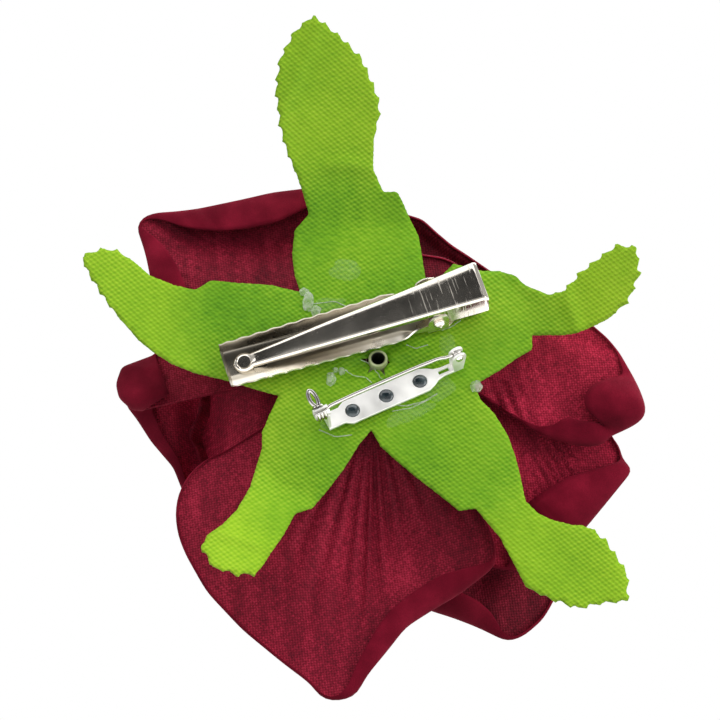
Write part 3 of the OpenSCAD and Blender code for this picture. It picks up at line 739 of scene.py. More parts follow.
def calyx_relief(x, v):
    """Folds and ripples of the calyx, in millimetres towards the back."""
    ripple = 0.35 * wrinkle(x, v, 9, 11) * smooth(10, 25, np.hypot(x, v)) + 0.12 * wrinkle(x, v, 2.5, 12)
    top_fold = 0.9 * np.exp(-((v - 41.5 + 0.036 * (x + 7) ** 2) / 1.6) ** 2) * np.exp(-((x + 7.5) / 6) ** 2)
    right_fold = 0.9 * np.exp(-((x - 41 + 0.35 * (v - 10)) / 1.5) ** 2) * smooth(36, 40, x)
    left_fold = 0.7 * np.exp(-((x + 41 - 0.45 * (v - 7)) / 1.8) ** 2)
    low_fold = 0.8 * np.exp(-((v + 37.5 + 0.3 * (x + 29)) / 1.5) ** 2) * smooth(-20, -26, x)
    pucker = 0.5 * np.sin(5 * np.arctan2(v, x)) * np.exp(-((np.hypot(x, v) - 6) / 4) ** 2)
    return ripple + top_fold + right_fold + left_fold + low_fold + pucker


def build_calyx():
    """The calyx as one sheet: its outline and torn hub hole, filled with an even net of points."""
    outline = calyx_outline()
    turn = full_turn(48)
    torn = 0.25 + 0.75 * (np.sin(turn + 0.4) < 0.1)
    star = HUB_HOLE + 1.7 * np.maximum(0, np.cos(turn * 6 + 0.8)) ** 4 * torn
    hole = np.stack([star * np.cos(turn), star * np.sin(turn) * COS], -1)
    pitch = 1.0
    gx, gv = np.meshgrid(np.arange(-64, 58, pitch), np.arange(-54, 75, pitch * 0.866))
    gx = gx + pitch / 2 * (np.arange(len(gx)) % 2)[:, None]
    grid = np.stack([gx.ravel(), gv.ravel()], -1)
    grid = grid[inside(grid, outline)]
    grid = grid[~inside(grid, hole * 1.25)]
    # keep interior points a little off the cut edge
    keep = np.ones(len(grid), bool)
    for k in range(0, len(grid), 500):
        block = grid[k:k + 500]
        keep[k:k + 500] = np.min(np.linalg.norm(block[:, None] - outline[None], axis=2), axis=1) > 0.45
    grid = grid[keep]
    points = np.vstack([outline, hole, grid])
    n, h = len(outline), len(hole)
    edges = [(i, (i + 1) % n) for i in range(n)] + [(n + i, n + (i + 1) % h) for i in range(h)]
    verts, _, faces, _, _, _ = geometry.delaunay_2d_cdt([Vector(p) for p in points], edges, [], 0, 1e-5)
    flat = np.array([tuple(p) for p in verts])
    centres = np.array([flat[list(f)].mean(axis=0) for f in faces])
    wanted = inside(centres, outline) & ~inside(centres, hole)
    faces = [f for f, w in zip(faces, wanted) if w]
    used = sorted({i for f in faces for i in f})
    renumber = {old: new for new, old in enumerate(used)}
    faces = [[renumber[i] for i in f] for f in faces]
    flat = flat[used]
    x, v = flat.T
    depth = np.zeros(len(x))
    lift = calyx_relief(x, v)
    for _ in range(20):
        p = seen(x, v, depth)
        depth = 0.5 * depth + 0.5 * (calyx_depth(p[:, 0], p[:, 2]) - lift)
    points = seen(x, v, depth)
    a, b, c = (flat[i] for i in faces[0][:3])
    if np.cross(b - a, c - a) < 0:
        faces = [f[::-1] for f in faces]
    piece = make("calyx_cloth", points, faces, flat)
    thicken(piece, CALYX_THICK, [calyx_green, calyx_green])
    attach(piece, "flower")
    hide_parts("calyx")
    return piece


calyx = build_calyx()

# ---------------------------------------------------------------- clip and bar frames
JAW_FACE = -HUB / MM
BAR_CENTRE = np.array([1.7, -0.6, -8.9])


def tilted(points, origin, tilt):
    """Points turned about the flower's axis by tilt, then moved to an origin."""
    p = np.asarray(points, float)
    x, y, z = p[..., 0], p[..., 1], p[..., 2]
    c, s = math.cos(tilt), math.sin(tilt)
    return np.stack([x * c - z * s, y, x * s + z * c], -1) + origin


def at_clip(points):
    return tilted(points, JAW_FACE, CLIP_TILT)


def at_bar(points):
    return tilted(points, BAR_CENTRE, PIN_TILT)


def finish_piece(piece, material, body, slot, *nodes):
    """Gives a piece its one material, and says what it rides and which nodes it replaces."""
    piece.data.materials.clear()
    piece.data.materials.append(material)
    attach(piece, body)
    if nodes:
        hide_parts(*nodes)


def break_edges(piece, width, limit, sharp):
    """Bevels the edges that turn by more than limit degrees, then shades the piece."""
    edge = piece.modifiers.new("edge", "BEVEL")
    edge.width = width * MM
    edge.segments = 2
    edge.limit_method = "ANGLE"
    edge.angle_limit = math.radians(limit)
    settle(piece)
    shade(piece.data, sharp)


def refine(node, material, body, slot, width):
    """The node's own shape with its edges broken, as pressed and plated metal has them."""
    source = frame["nodes"][node]
    mesh = source.data.copy()
    mesh.transform(source.matrix_world)
    form = bmesh.new()
    form.from_mesh(mesh)
    bmesh.ops.remove_doubles(form, verts=form.verts, dist=0.00001)
    bmesh.ops.dissolve_limit(form, angle_limit=math.radians(1), verts=form.verts, edges=form.edges)
    form.to_mesh(mesh)
    form.free()
    piece = add_object(node + "_metal", mesh)
    break_edges(piece, width, 35, 32)
    finish_piece(piece, material, body, slot, node)


def swept(name, rings, place, thickness):
    """A surface through rings of points, thickened away from its face."""
    rings = np.asarray(rings, float)
    piece = make(name, place(rings).reshape(-1, 3), grid_faces(len(rings), rings.shape[1]))
    shell = piece.modifiers.new("shell", "SOLIDIFY")
    shell.thickness = thickness * MM
    shell.offset = -1
    settle(piece)
    piece.data.set_sharp_from_angle(angle=math.radians(50))
    return piece


def wire(name, path, radius, place, sides=12):
    """A round wire along a path; the radius may vary from point to point."""
    path = place(np.asarray(path, float))
    radius = np.broadcast_to(radius, len(path))
    ahead = np.gradient(path, axis=0)
    ahead /= np.linalg.norm(ahead, axis=1)[:, None]
    side = np.cross(ahead[0], [0.3, 0.5, 0.8])
    turn = full_turn(sides)
    rings = []
    for point, way, r in zip(path, ahead, radius):
        side = side - way * np.dot(side, way)
        side /= np.linalg.norm(side)
        over = np.cross(way, side)
        rings.append(point + r * (np.cos(turn)[:, None] * side + np.sin(turn)[:, None] * over))
    return make(name, np.array(rings).reshape(-1, 3), tube_faces(len(path), sides))


def plate_piece(name, outline, z, thickness, place):
    """A flat plate cut to an outline in x and y, standing across z."""
    flat = np.asarray(outline, float)
    n = len(flat)
    low = np.column_stack([flat, np.full(n, z - thickness / 2)])
    high = np.column_stack([flat, np.full(n, z + thickness / 2)])
    faces = [list(range(n))[::-1], list(range(n, 2 * n))]
    faces += [[i, (i + 1) % n, n + (i + 1) % n, n + i] for i in range(n)]
    piece = make(name, place(np.vstack([low, high])), faces)
    break_edges(piece, 0.08, 40, 35)
    return piece


def joined(name, pieces):
    """One object made of several meshes."""
    form = bmesh.new()
    for piece in pieces:
        form.from_mesh(piece.data)
    mesh = bpy.data.meshes.new(name)
    form.to_mesh(mesh)
    form.free()
    for piece in pieces:
        bpy.data.objects.remove(piece)
    shade(mesh, 40)
    return add_object(name, mesh)


# ---------------------------------------------------------------- alligator clip
# x runs along the clip from the middle of the bite, y away from the back, z across.
JAW_TIP = -18.0
CLIP_END = 39.0
PIVOT_X, PIVOT_Y = 27.8, -3.6
TEETH_END = 23.8
TOOTH_PITCH = 3.4
JAW_HALF = 4.3
SHEET = 0.45
LEVER_TIP = JAW_TIP + 4.3
LEVER_TIP_RADIUS = 2.0
LEVER_GAP = 0.42
# Slope and widths of the lever as the photograph suggests them. The CAD's lever slopes 7 degrees
# and is narrower at its finger end.
LEVER_SLOPE = math.radians(9)
LEVER_NECK_HALF, LEVER_END_HALF = 1.32, 4.55


def jaw_ring(x):
    """Section of the toothed channel: flared walls, a lip at the front, plain towards the ears."""
    b = float(smooth(19, TEETH_END + 0.5, x))
    start = float(smooth(JAW_TIP, JAW_TIP + 2, x))
    tooth = 0.42 * math.sin(math.pi * (x - JAW_TIP) / TOOTH_PITCH) ** 2 * (1 - b) * start
    rise = float(np.clip((x - JAW_TIP) / (TEETH_END - 2 - JAW_TIP), 0, 1))
    far = [(4.5 + 0.7 * rise, -2.7 - 1.3 * rise), (4.2 + 0.3 * rise, -1.6 - 0.5 * rise), (4.0, -0.6),
           (3.8, -0.22), (3.45, -0.03), (2.9, 0.0)]
    near = [(-1.9, 0.0), (-2.25, -0.02), (-2.6, -0.1), (-3.0, -0.24), (-4.1, -0.66), (-5.05, -1.05)]
    far_ear = [(4.05, -2.3), (4.05, -1.5), (4.05, -0.6), (3.98, -0.2), (3.7, -0.03), (3.2, 0.0)]
    near_ear = [(-3.2, 0.0), (-3.7, -0.03), (-3.98, -0.2), (-4.05, -0.6), (-4.05, -1.4), (-4.05, -2.3)]
    ring = [((1 - b) * p[0] + b * q[0], (1 - b) * p[1] + b * q[1])
            for p, q in zip(far + near, far_ear + near_ear)]
    ring[0] = (ring[0][0] + 0.1 * tooth, ring[0][1] - 0.9 * tooth)
    ring[-1] = (ring[-1][0] - 0.75 * tooth, ring[-1][1] - 0.6 * tooth)
    lip = 0.65 * (1 - float(smooth(0, 0.6, x - JAW_TIP)))
    return [(x, y - (lip if abs(y) < 0.3 else lip * 0.4), z) for z, y in ring]


def ear_outline(radius, depth):
    """A round-topped ear about the pivot that goes down to depth."""
    turn = np.linspace(0, math.pi, 19)
    arc = [(PIVOT_X + radius * math.cos(t), PIVOT_Y - radius * math.sin(t)) for t in turn]
    return arc + [(PIVOT_X - radius, depth), (PIVOT_X + radius, depth)]


def build_jaw():
    """Toothed channel, finger tab and two ears."""
    stations = np.linspace(JAW_TIP, TEETH_END + 4.5, 190)
    parts = [swept("jaw_channel", [jaw_ring(x) for x in stations], at_clip, 0.34)]
    tab = [(TEETH_END + 4.4, JAW_HALF - 0.3), (PIVOT_X + 2.4, JAW_HALF - 0.3), (PIVOT_X + 4, 2.9),
           (CLIP_END - 1.2, 2.9), (CLIP_END - 0.6, 2.3)]
    tab = [(x, -z) for x, z in tab] + tab[::-1]

    def lying(points):
        return at_clip(points[:, [0, 2, 1]])

    parts.append(plate_piece("jaw_tab", tab, SHEET / 2, SHEET, lying))
    ear, ear_place = ear_outline(2.3, 0.2), JAW_HALF - SHEET / 2
    parts += [plate_piece("jaw_ear", ear, side * ear_place, SHEET, at_clip) for side in (-1, 1)]
    finish_piece(joined("clip_jaw_metal", parts), nickel, "flower", "nickel_steel", "clip_jaw")


def on_lever(points):
    """The lever slopes up from its tip towards the finger end."""
    p = np.asarray(points, float)
    x, y = p[..., 0] - LEVER_TIP, p[..., 1]
    c, s = math.cos(LEVER_SLOPE), math.sin(LEVER_SLOPE)
    return at_clip(np.stack([LEVER_TIP + x * c + y * s, y * c - x * s - LEVER_GAP, p[..., 2]], -1))


def lever_half(x):
    """Half width of the lever: a round tip, a neck, then a straight taper."""
    tip = math.sqrt(max(LEVER_TIP_RADIUS ** 2 - (x - LEVER_TIP) ** 2, 0.02)) if x < LEVER_TIP + 1.45 else 0.0
    share = (x - LEVER_TIP - 1.4) / (CLIP_END - LEVER_TIP - 1.4)
    taper = LEVER_NECK_HALF + (LEVER_END_HALF - LEVER_NECK_HALF) * share
    return max(tip, taper if x > LEVER_TIP else 0.0)


def lever_ring(x):
    """Section of the lever: a nearly flat face, turned-down edges and, near its end, deeper flanges."""
    half = lever_half(x)
    past = x - LEVER_TIP
    end = CLIP_END - x
    edge = min(0.5, half * 0.8)
    heel = 2.4 * float(smooth(9.2, 8.6, end)) * float(smooth(0.1, 0.7, end))
    flange = 0.15 + 0.3 * float(smooth(4, 12, past)) + heel
    flare = 0.42 * heel
    crown = 0.06 * float(smooth(3, 10, past))
    band = 0.4 + 2.3 * float(smooth(14, 50, past))
    fall = 0.7 * (1 - math.cos(math.pi / 2 * float(np.clip(1 - end / 0.9, 0, 1))))
    ring = []
    flat = half - edge
    for u in np.concatenate([[-1, -0.97], np.linspace(-0.9, 0.9, 21), [0.97, 1]]):
        z = u * flat
        hollow = 0.2 * float(smooth(1.75, 1.5, math.hypot(past, z))) * float(smooth(2.6, 1.6, past))
        slant = 0.11 * max(0.0, z - flat + band) ** 2 / band
        ring.append((z, -SHEET - crown * (1 - u * u) + hollow + slant))
    far = -SHEET + 0.11 * min(band, 2 * flat) ** 2 / band
    corner = np.linspace(0, math.pi / 2, 6)[1:]
    high = [(flat + edge * math.sin(a), far + edge * (1 - math.cos(a)) * 0.9) for a in corner]
    high += [(half + flare * share, far + edge * 0.9 + flange * share) for share in (0.5, 1.0)]
    crease = 0.55 * edge
    low = [(-half + crease - crease * math.sin(a), -SHEET + crease * (1 - math.cos(a)) * 0.9) for a in corner]
    low += [(-half - flare * share, -SHEET + edge * 0.9 + flange * share) for share in (0.5, 1.0)]
    return [(x, y + fall, z) for z, y in low[::-1] + ring + high]


def build_lever():
    """Lever plate and two ears."""
    tip = LEVER_TIP - LEVER_TIP_RADIUS * np.cos(np.linspace(0, math.pi * 0.78, 26)) + 0.004
    body = np.linspace(LEVER_TIP + 1.6, CLIP_END - 9.4, 40)
    spans = ((9.2, 8.5, 6), (8.2, 1.2, 14), (1.0, 0, 12))
    heel = np.concatenate([np.linspace(CLIP_END - a, CLIP_END - b, count) for a, b, count in spans])
    rings = [lever_ring(x) for x in np.unique(np.concatenate([tip[tip < LEVER_TIP + 1.5], body, heel]))]
    parts = [swept("lever_plate", rings[::-1], on_lever, 0.32)]
    # each ear is round below the pivot and stretched up to the lever above it
    disc = [(PIVOT_X + 1.8 * math.cos(t), PIVOT_Y + (1.8 if math.sin(t) > 0 else 3.4) * math.sin(t))
            for t in full_turn(36)]
    parts += [plate_piece("lever_ear", disc, side * 3.27, 0.4, at_clip) for side in (-1, 1)]
    finish_piece(joined("clip_lever_metal", parts), lever_nickel, "clip_lever", "nickel_steel", "clip_lever")


def build_spring():
    """The torsion coil with its leg on the jaw, and the leg that moves with the lever."""
    coil_radius, coil_half, wire_radius = 1.25, 1.6, 0.3
    turn = np.linspace(0, 2 * math.pi * 5.2, 190)
    coil = np.stack([PIVOT_X + coil_radius * np.sin(turn), PIVOT_Y + coil_radius * np.cos(turn),
                     np.linspace(coil_half, -coil_half, len(turn))], -1)
    leg = [(PIVOT_X + 8.0 * t, PIVOT_Y + coil_radius + 1.6 * t, coil_half) for t in np.linspace(1, 0.05, 14)]
    fixed = wire("clip_spring_coil", np.vstack([leg, coil]), wire_radius, at_clip)
    finish_piece(fixed, brass, "flower", "spring_wire", "clip_spring")
    rest = [(PIVOT_X + 1.0 + 7 * t, 0.35, 0.5 - coil_half) for t in np.linspace(0, 1, 8)]
    moving = wire("clip_spring_moving_leg", rest, wire_radius, on_lever)
    finish_piece(moving, brass, "clip_lever", "spring_wire", "clip_spring_leg")


def build_pivot():
    """Pivot pin: a domed near head, the shank, and a far head with a flange, as radius and z."""
    sides = 32
    turn = full_turn(sides)
    shape = [(0.02, -5.75), (0.6, -5.68), (1.05, -5.45), (1.32, -5.05), (1.34, -4.7), (1.1, -4.36),
             (0.8, -4.34), (0.8, 4.31), (0.85, 5.0), (2.4, 5.02), (2.65, 5.12), (2.65, 5.25), (2.4, 5.38),
             (1.3, 5.42), (1.15, 5.8), (0.7, 6.0), (0.02, 6.05)]
    rings = [[(PIVOT_X + r * math.cos(t), PIVOT_Y + r * math.sin(t), z) for t in turn] for r, z in shape]
    piece = make("clip_pivot_metal", at_clip(np.array(rings)).reshape(-1, 3), tube_faces(len(shape), sides))
    finish_piece(piece, rivet_nickel, "flower", "nickel_steel", "clip_pivot_pin")


build_jaw()
build_lever()
build_spring()
build_pivot()

# ---------------------------------------------------------------- bar pin
# x runs along the bar from its middle, y away from the back, z across.
WIRE_HEIGHT = 6.0
HINGE = (16.5, -5.2)
CATCH_LEFT, CATCH_RIGHT = -16.4, -14.2
BAR_HOLES = (-7.85, 0, 7.85)


def build_wire():
    """Pointed wire that winds once round the hinge rivet."""
    straight = [(x, -WIRE_HEIGHT - 0.45 * float(smooth(-15, -6, x) * smooth(14, 5, x)),
                 0.55 * float(smooth(-14.5, -12.5, x) * smooth(14.4, 12, x)))
                for x in np.concatenate([np.linspace(-16.8, -12.8, 8), np.linspace(-12, 14.6, 30)])]
    turn = np.linspace(math.radians(205), math.radians(205 + 400), 44)
    loop = [(HINGE[0] + 0.94 * math.cos(t), HINGE[1] + 0.94 * math.sin(t), 0.62 * (i / 43 - 0.12))
            for i, t in enumerate(turn)]
    path = np.array(straight + [(15.1, -5.95, -0.04)] + loop)
    radius = np.concatenate([np.linspace(0.07, 0.38, 8), np.full(len(path) - 8, 0.38)])
    radius[-45:] = 0.34
    piece = wire("pin_wire_metal", path, radius, at_bar, 14)
    finish_piece(piece, wire_steel, "pin_arm", "bright_steel", "pin_wire")


def build_catch():
    """Slotted sleeve with rolled beads and a wire loop to turn it by."""
    slot = math.radians(33)
    turn = np.linspace(-math.pi / 2 + slot, 1.5 * math.pi - slot, 40)
    rings = []
    for x in np.linspace(CATCH_LEFT, CATCH_RIGHT, 34):
        share = (x - CATCH_LEFT) / (CATCH_RIGHT - CATCH_LEFT)
        bead = 0.36 * abs(math.sin(math.pi * 3 * share)) ** 0.7
        r = 1.48 + bead
        rings.append([(x, -WIRE_HEIGHT + r * math.sin(t), r * math.cos(t)) for t in turn])
    sleeve = swept("catch_sleeve", rings, at_bar, 0.22)
    middle = (CATCH_LEFT + CATCH_RIGHT) / 2
    loop = [(middle + 0.1 + 0.74 * math.sin(a), -WIRE_HEIGHT - 0.1, 3.5 - 2.0 * math.cos(a))
            for a in np.linspace(0.4, 2 * math.pi - 0.4, 40)]
    tab = wire("catch_loop", loop, 0.48, at_bar)
    piece = joined("pin_catch_metal", [sleeve, tab])
    finish_piece(piece, wire_steel, "catch", "bright_steel", "pin_catch_sleeve")


def bar_plate():
    """The flat bar with its three holes and slot, cut from its rims as a filled, bevelled curve."""
    turn = full_turn(32)
    upper = [(-14, 1.9), (-10.3, 1.9), (-9.7, 2.3), (-8.8, 2.75), (8.9, 2.75), (10.4, 2.1), (11.6, 1.35),
             (13.2, 1.05), (17.6, 1.05)]
    rims = [[(x, -z) for x, z in upper] + [(x, z) for x, z in upper[::-1]]]
    rims += [[(hole + 1.55 * math.cos(a), 1.55 * math.sin(a)) for a in turn] for hole in BAR_HOLES]
    rims.append([(12.2, -0.42), (14.6, -0.42), (14.6, 0.42), (12.2, 0.42)])
    curve = bpy.data.curves.new("bar_plate", "CURVE")
    curve.dimensions = "2D"
    curve.fill_mode = "BOTH"
    curve.extrude = 0.23
    curve.bevel_depth = 0.12
    curve.bevel_resolution = 2
    curve.offset = -0.12
    for rim in rims:
        spline = curve.splines.new("POLY")
        spline.points.add(len(rim) - 1)
        spline.points.foreach_set("co", np.array([(x, z, 0, 1) for x, z in rim], float).ravel())
        spline.use_cyclic_u = True
    plate = add_object("bar_plate", curve)
    flat = bpy.data.meshes.new_from_object(plate.evaluated_get(bpy.context.evaluated_depsgraph_get()))
    bpy.data.objects.remove(plate)
    local = np.empty(len(flat.vertices) * 3)
    flat.vertices.foreach_get("co", local)
    local = local.reshape(-1, 3)
    laid = at_bar(np.column_stack([local[:, 0], -0.35 - local[:, 2], local[:, 1]]))
    flat.vertices.foreach_set("co", world(laid).ravel())
    flat.flip_normals()
    return add_object("bar_solid", flat)


def build_bar():
    """Pressed bar, its folded hinge cheeks, end post and catch barrel."""
    parts = [bar_plate()]
    arc = np.linspace(-0.1, math.pi + 0.1, 20)
    cheek = [(HINGE[0] + 1.6 * math.cos(a), HINGE[1] - 1.6 * math.sin(a)) for a in arc]
    cheek += [(HINGE[0] - 1.15, -0.4), (HINGE[0] + 1.1, -0.4)]
    parts += [plate_piece("cheek", cheek, side * 0.8, 0.5, at_bar) for side in (-1, 1)]

    def standing(points):
        return at_bar(points[:, [2, 1, 0]])

    post = [(-1.7, -0.3), (-1.7, -0.9), (-1.05, -4.0), (-1.1, -5.0)]
    post += [(-x, y) for x, y in post[::-1]]
    parts.append(plate_piece("post", post, -13.75, 0.6, standing))
    slot = math.radians(27)
    turn = np.linspace(slot - math.pi / 2, 1.5 * math.pi - slot, 34)
    rings = [[(x, -WIRE_HEIGHT + 1.13 * math.sin(a), 1.13 * math.cos(a)) for a in turn]
             for x in np.linspace(-16.6, -13.4, 12)]
    parts.append(swept("barrel", rings, at_bar, 0.45))
    finish_piece(joined("pin_bar_metal", parts), bar_steel, "flower", "bright_steel", "pin_bar")


build_wire()
build_catch()
build_bar()
refine("pin_hinge_rivet", silver, "flower", "bright_steel", 0.06)
refine("stem_tube", tube_plastic, "flower", "stem_plastic", 0.15)

# ---------------------------------------------------------------- glue
def calyx_at(x, v, lift):
    """Points on the calyx's back that show at x and v, raised by lift."""
    x, v = np.asarray(x, float), np.asarray(v, float)
    raised = calyx_relief(x, v) + lift
    depth = np.zeros_like(x)
    for _ in range(20):
        p = seen(x, v, depth)
        depth = 0.5 * depth + 0.5 * (calyx_depth(p[..., 0], p[..., 2]) - raised)
    return seen(x, v, depth)


def glue_piece(piece, material, *nodes):
    finish_piece(piece, material, "flower", "hot_glue", *nodes)


def glue_blob(name, x, v, size, seed):
    """A flattened, lumpy blob of glue on the calyx; size is half its width, height and thickness."""
    turn = full_turn(28)[None, :]
    lean = np.linspace(-math.pi / 2, math.pi / 2, 15)[:, None]
    across = np.cos(lean) * np.cos(turn)
    up = np.cos(lean) * np.sin(turn)
    out = np.sin(lean) + 0 * turn
    lump = 1 + 0.4 * np.reshape([noise.noise(Vector((a * 1.6, b * 1.6, c * 1.6 + seed)))
                                 for a, b, c in zip(across.ravel(), up.ravel(), out.ravel())], out.shape)
    centre = calyx_at([x], [v], 0.2)[0]
    points = np.stack([across * size[0], out * size[2], up * size[1]], -1) * lump[..., None] + centre
    return make(name, points.reshape(-1, 3), grid_faces(15, 28, True))


def glue_film(name, x, v, half_x, half_v, turn, seed):
    """A thin, puckered skin of glue that lies over the calyx."""
    ray = full_turn(40)
    edge = 1 + 0.35 * np.array([noise.noise(Vector((math.cos(t) * 1.3, math.sin(t) * 1.3, seed)))
                                for t in ray])
    share = np.linspace(0.03, 1, 14)[:, None]
    a, b = share * edge * np.cos(ray) * half_x, share * edge * np.sin(ray) * half_v
    c, s = math.cos(math.radians(turn)), math.sin(math.radians(turn))
    px, pv = x + a * c - b * s, v + a * s + b * c
    height = (0.25 + 0.3 * (1 + wrinkle(px, pv, 1.1, seed))) * (1 - share ** 3) + 0.1
    return make(name, calyx_at(px, pv, height).reshape(-1, 3), grid_faces(14, 40, True))


def glue_string(name, points, radius, seed):
    """A thin, wandering thread of glue; a point's third value is its height over the calyx."""
    path = resample(points, 24, 3)
    wander = 0.3 * np.array([noise.noise(Vector((i * 0.4, seed, 0))) for i in range(24)])
    height = path[:, 2] + 0.1 if path.shape[1] > 2 else np.full(24, 0.12)
    thick = radius * (1 + 0.6 * np.array([noise.noise(Vector((i * 0.7, seed, 5))) for i in range(24)]))
    return wire(name, calyx_at(path[:, 0] + wander, path[:, 1], height), thick, lambda p: p, 8)


def build_glue():
    """All the glue: blobs, strings, skins under the clip and the bar, and domes in the bar's holes."""
    blobs = [(-14.6, 12.4, (1.2, 2.2, 0.5)), (-13.0, 10.6, (1.0, 1.2, 0.5)), (-15.5, 14.6, (1.0, 0.9, 0.4)),
             (20.6, -5.4, (1.2, 1.5, 0.7)), (-10, -3.9, (1.1, 1.5, 0.9)), (-7.6, -2.2, (0.8, 0.8, 0.7)),
             (-9.0, -2.0, (0.6, 0.6, 0.8))]
    pieces = [glue_blob("blob", x, v, size, i + 1) for i, (x, v, size) in enumerate(blobs)]
    glue_piece(joined("glue_blobs", pieces), glue)
    strings = [([(-7, -1.9, 0.7), (-5, -3.2, 0.5), (-2.6, -3.4, 0.2), (-1.4, -4.6, 0.1)], 0.12),
               ([(2.6, -8.9), (5.5, -9.6), (9.5, -8.6), (12.5, -6.9)], 0.16),
               ([(3, -10.6), (7, -9.9), (11, -8.0)], 0.12),
               ([(6, 3.4), (8, 2.6), (10.5, 3.4)], 0.12), ([(13.5, 6.5), (15.5, 7.2), (17.5, 8.6)], 0.12),
               ([(-14, 12), (-9, 12.6), (-6, 11.2)], 0.12),
               ([(-12.5, -14.5), (-9, -16), (-5.5, -15.6)], 0.14),
               ([(-3.6, 0.2), (-1.5, -0.6), (1.2, -4.4)], 0.1)]
    pieces = [glue_string("string", path, radius, i) for i, (path, radius) in enumerate(strings)]
    glue_piece(joined("glue_strings", pieces), glue)
    films = [(-6.7, 19.2, 3.4, 2.3, 0, 1), (-10.5, 11.6, 3.6, 1.6, 10, 2), (14.6, 3.4, 1.8, 2.6, 0, 3),
             (-9.5, -12, 3.2, 2.2, 30, 4)]
    pieces = [glue_film("film", *film) for film in films]
    glue_piece(joined("glue_films", pieces), glue_skin, "clip_glue")
    films = [(6.4, -11.3, 6.0, 1.5, 24, 5), (13.0, -5.6, 3.6, 2.4, 20, 6)]
    pieces = [glue_film("film", *film) for film in films]
    glue_piece(joined("glue_bar_films", pieces), glue_skin)
    sides = 32
    turn = full_turn(sides)
    shape = [(1.5, 0.6), (1.5, -0.4)]
    shape += [(1.5 * math.cos(a), -0.55 - 0.55 * math.sin(a)) for a in np.linspace(0, 1.5, 9)]
    top = list(range(sides * (len(shape) - 1), sides * len(shape)))
    domes = []
    for hole in BAR_HOLES:
        rings = np.array([[(hole + r * math.cos(t), y, r * math.sin(t)) for t in turn] for r, y in shape])
        domes.append(make("dome", at_bar(rings).reshape(-1, 3), grid_faces(len(shape), sides, True) + [top]))
    glue_piece(joined("glue_domes", domes), glue_plug, "pin_glue")


build_glue()


def build_core():
    """Foam core of the bud, on the end of the stem tube."""
    sides = 24
    turn = full_turn(sides)
    shape = [(2.0, 16.2), (2.15, 18), (1.9, 21), (1.2, 24), (0.75, 28), (0.62, 33), (0.3, 35), (0.02, 35.4)]
    rings = np.array([[(r * math.cos(a), y, r * math.sin(a)) for a in turn] for r, y in shape])
    piece = make("bud_core_foam", rings.reshape(-1, 3), tube_faces(len(shape), sides))
    finish_piece(piece, foam, "flower", "foam", "bud_core")


build_core()

# ---------------------------------------------------------------- floor, light and camera
FLOOR = -0.42


def plane(name, centre, right, up, half):
    """A flat piece of the stage, which is no part of the object."""
    verts = [centre + right * a * half[0] + up * b * half[1] for a, b in ((-1, -1), (1, -1), (1, 1), (-1, 1))]
    mesh = bpy.data.meshes.new(name)
    mesh.from_pydata([tuple(v) for v in verts], [], [(0, 1, 2, 3)])
    obj = add_object(name, mesh)
    return obj


floor = plane("floor", np.array([0, 0, FLOOR]), np.array([1, 0, 0]), np.array([0, 1, 0]), (6, 6))
floor_paint = Material("floor_paper", Roughness=0.9)
floor_paint.shader.inputs["Base Color"].default_value = (0.86, 0.86, 0.86, 1)
floor_paint.shader.inputs["Emission Color"].default_value = (1, 1, 1, 1)
floor_paint.shader.inputs["Emission Strength"].default_value = 1.0
floor.data.materials.append(floor_paint.material)
floor.visible_diffuse = False

look = np.array([0, COS, SIN])
view_up = np.array([0, -SIN, COS])
right = np.array([1.0, 0, 0])

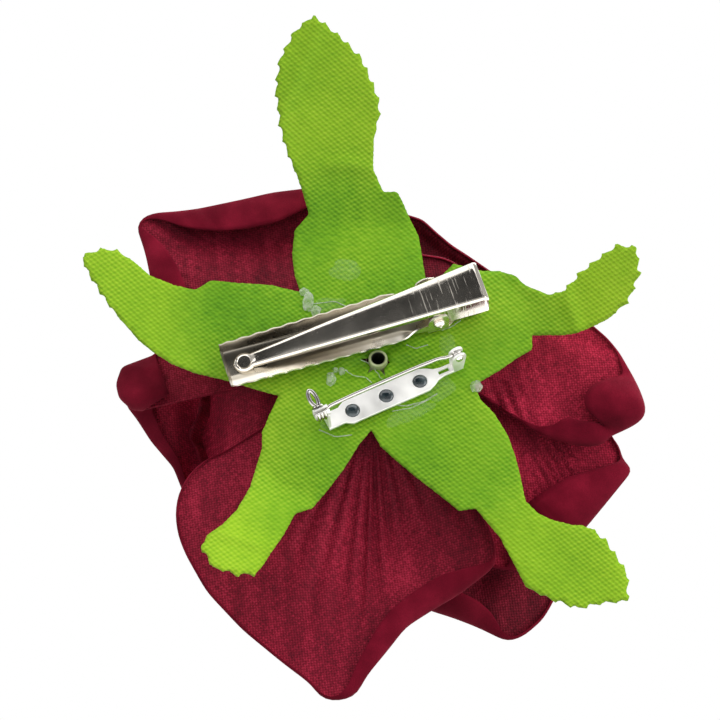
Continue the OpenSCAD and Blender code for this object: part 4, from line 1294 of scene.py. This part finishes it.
# A dark card beside the camera gives the polished metal its dark reflections.
card_way = np.array([-0.12, -0.86, 0.49])
card_way /= np.linalg.norm(card_way)
card_right = np.cross(card_way, [0, 0, 1.0])
card_right /= np.linalg.norm(card_right)
card = plane("dark_card", HUB + card_way * 0.75, card_right, np.cross(card_right, card_way), (0.3, 0.19))
card_paint = Material("card_black", Roughness=1.0)
card_paint.shader.inputs["Base Color"].default_value = (0.012, 0.012, 0.012, 1)
card.data.materials.append(card_paint.material)
card.visible_camera = False
card.visible_diffuse = False
card.visible_shadow = False


def lamp(name, way, distance, size, power):
    """A round soft lamp that shines on the hub from a direction."""
    data = bpy.data.lights.new(name, "AREA")
    data.shape = "DISK"
    data.size = size
    data.energy = power
    obj = add_object(name, data)
    way = Vector(way).normalized()
    obj.location = Vector(HUB) + way * distance
    obj.rotation_euler = way.to_track_quat("Z", "Y").to_euler()
    obj.visible_camera = False


lamp("key", (-0.2, -0.55, 0.95), 1.1, 1.7, 10.5)
lamp("fill", (1.0, -0.5, 0.1), 1.3, 1.3, 11)
lamp("face_light", look * 0.9 + view_up * 0.6 + right * 0.4, 1.3, 0.9, 11)

# The paper behind shows white, and lights the object less than it shows.
sky = bpy.data.worlds.new("studio")
sky.use_nodes = True
nodes, links = sky.node_tree.nodes, sky.node_tree.links
paper = next(n for n in nodes if n.type == "BACKGROUND")
paper.inputs["Color"].default_value = (1, 1, 1, 1)
paper.inputs["Strength"].default_value = 1.0
ambient = nodes.new("ShaderNodeBackground")
ambient.inputs["Color"].default_value = (1, 1, 1, 1)
ambient.inputs["Strength"].default_value = 0.52
to_camera = nodes.new("ShaderNodeLightPath").outputs["Is Camera Ray"]
blend = nodes.new("ShaderNodeMixShader")
links.new(to_camera, blend.inputs[0])
links.new(ambient.outputs[0], blend.inputs[1])
links.new(paper.outputs[0], blend.inputs[2])
links.new(blend.outputs[0], next(n for n in nodes if n.type == "OUTPUT_WORLD").inputs["Surface"])
scene.world = sky
scene.view_settings.view_transform = "Standard"

SENSOR = 36.0
VIEW_WIDTH = 151.9
VIEW_CENTRE = (-3.8, 0.2)
camera_data = bpy.data.cameras.new("camera")
camera_data.sensor_width = SENSOR
camera_data.lens = SENSOR * VIEW_DISTANCE / VIEW_WIDTH
camera = add_object("camera", camera_data)
camera.location = HUB + (right * VIEW_CENTRE[0] + view_up * VIEW_CENTRE[1] - look * VIEW_DISTANCE) * MM
camera.rotation_euler = Vector(look).to_track_quat("-Z", "Y").to_euler()
camera_data.clip_start = 0.01
scene.camera = camera
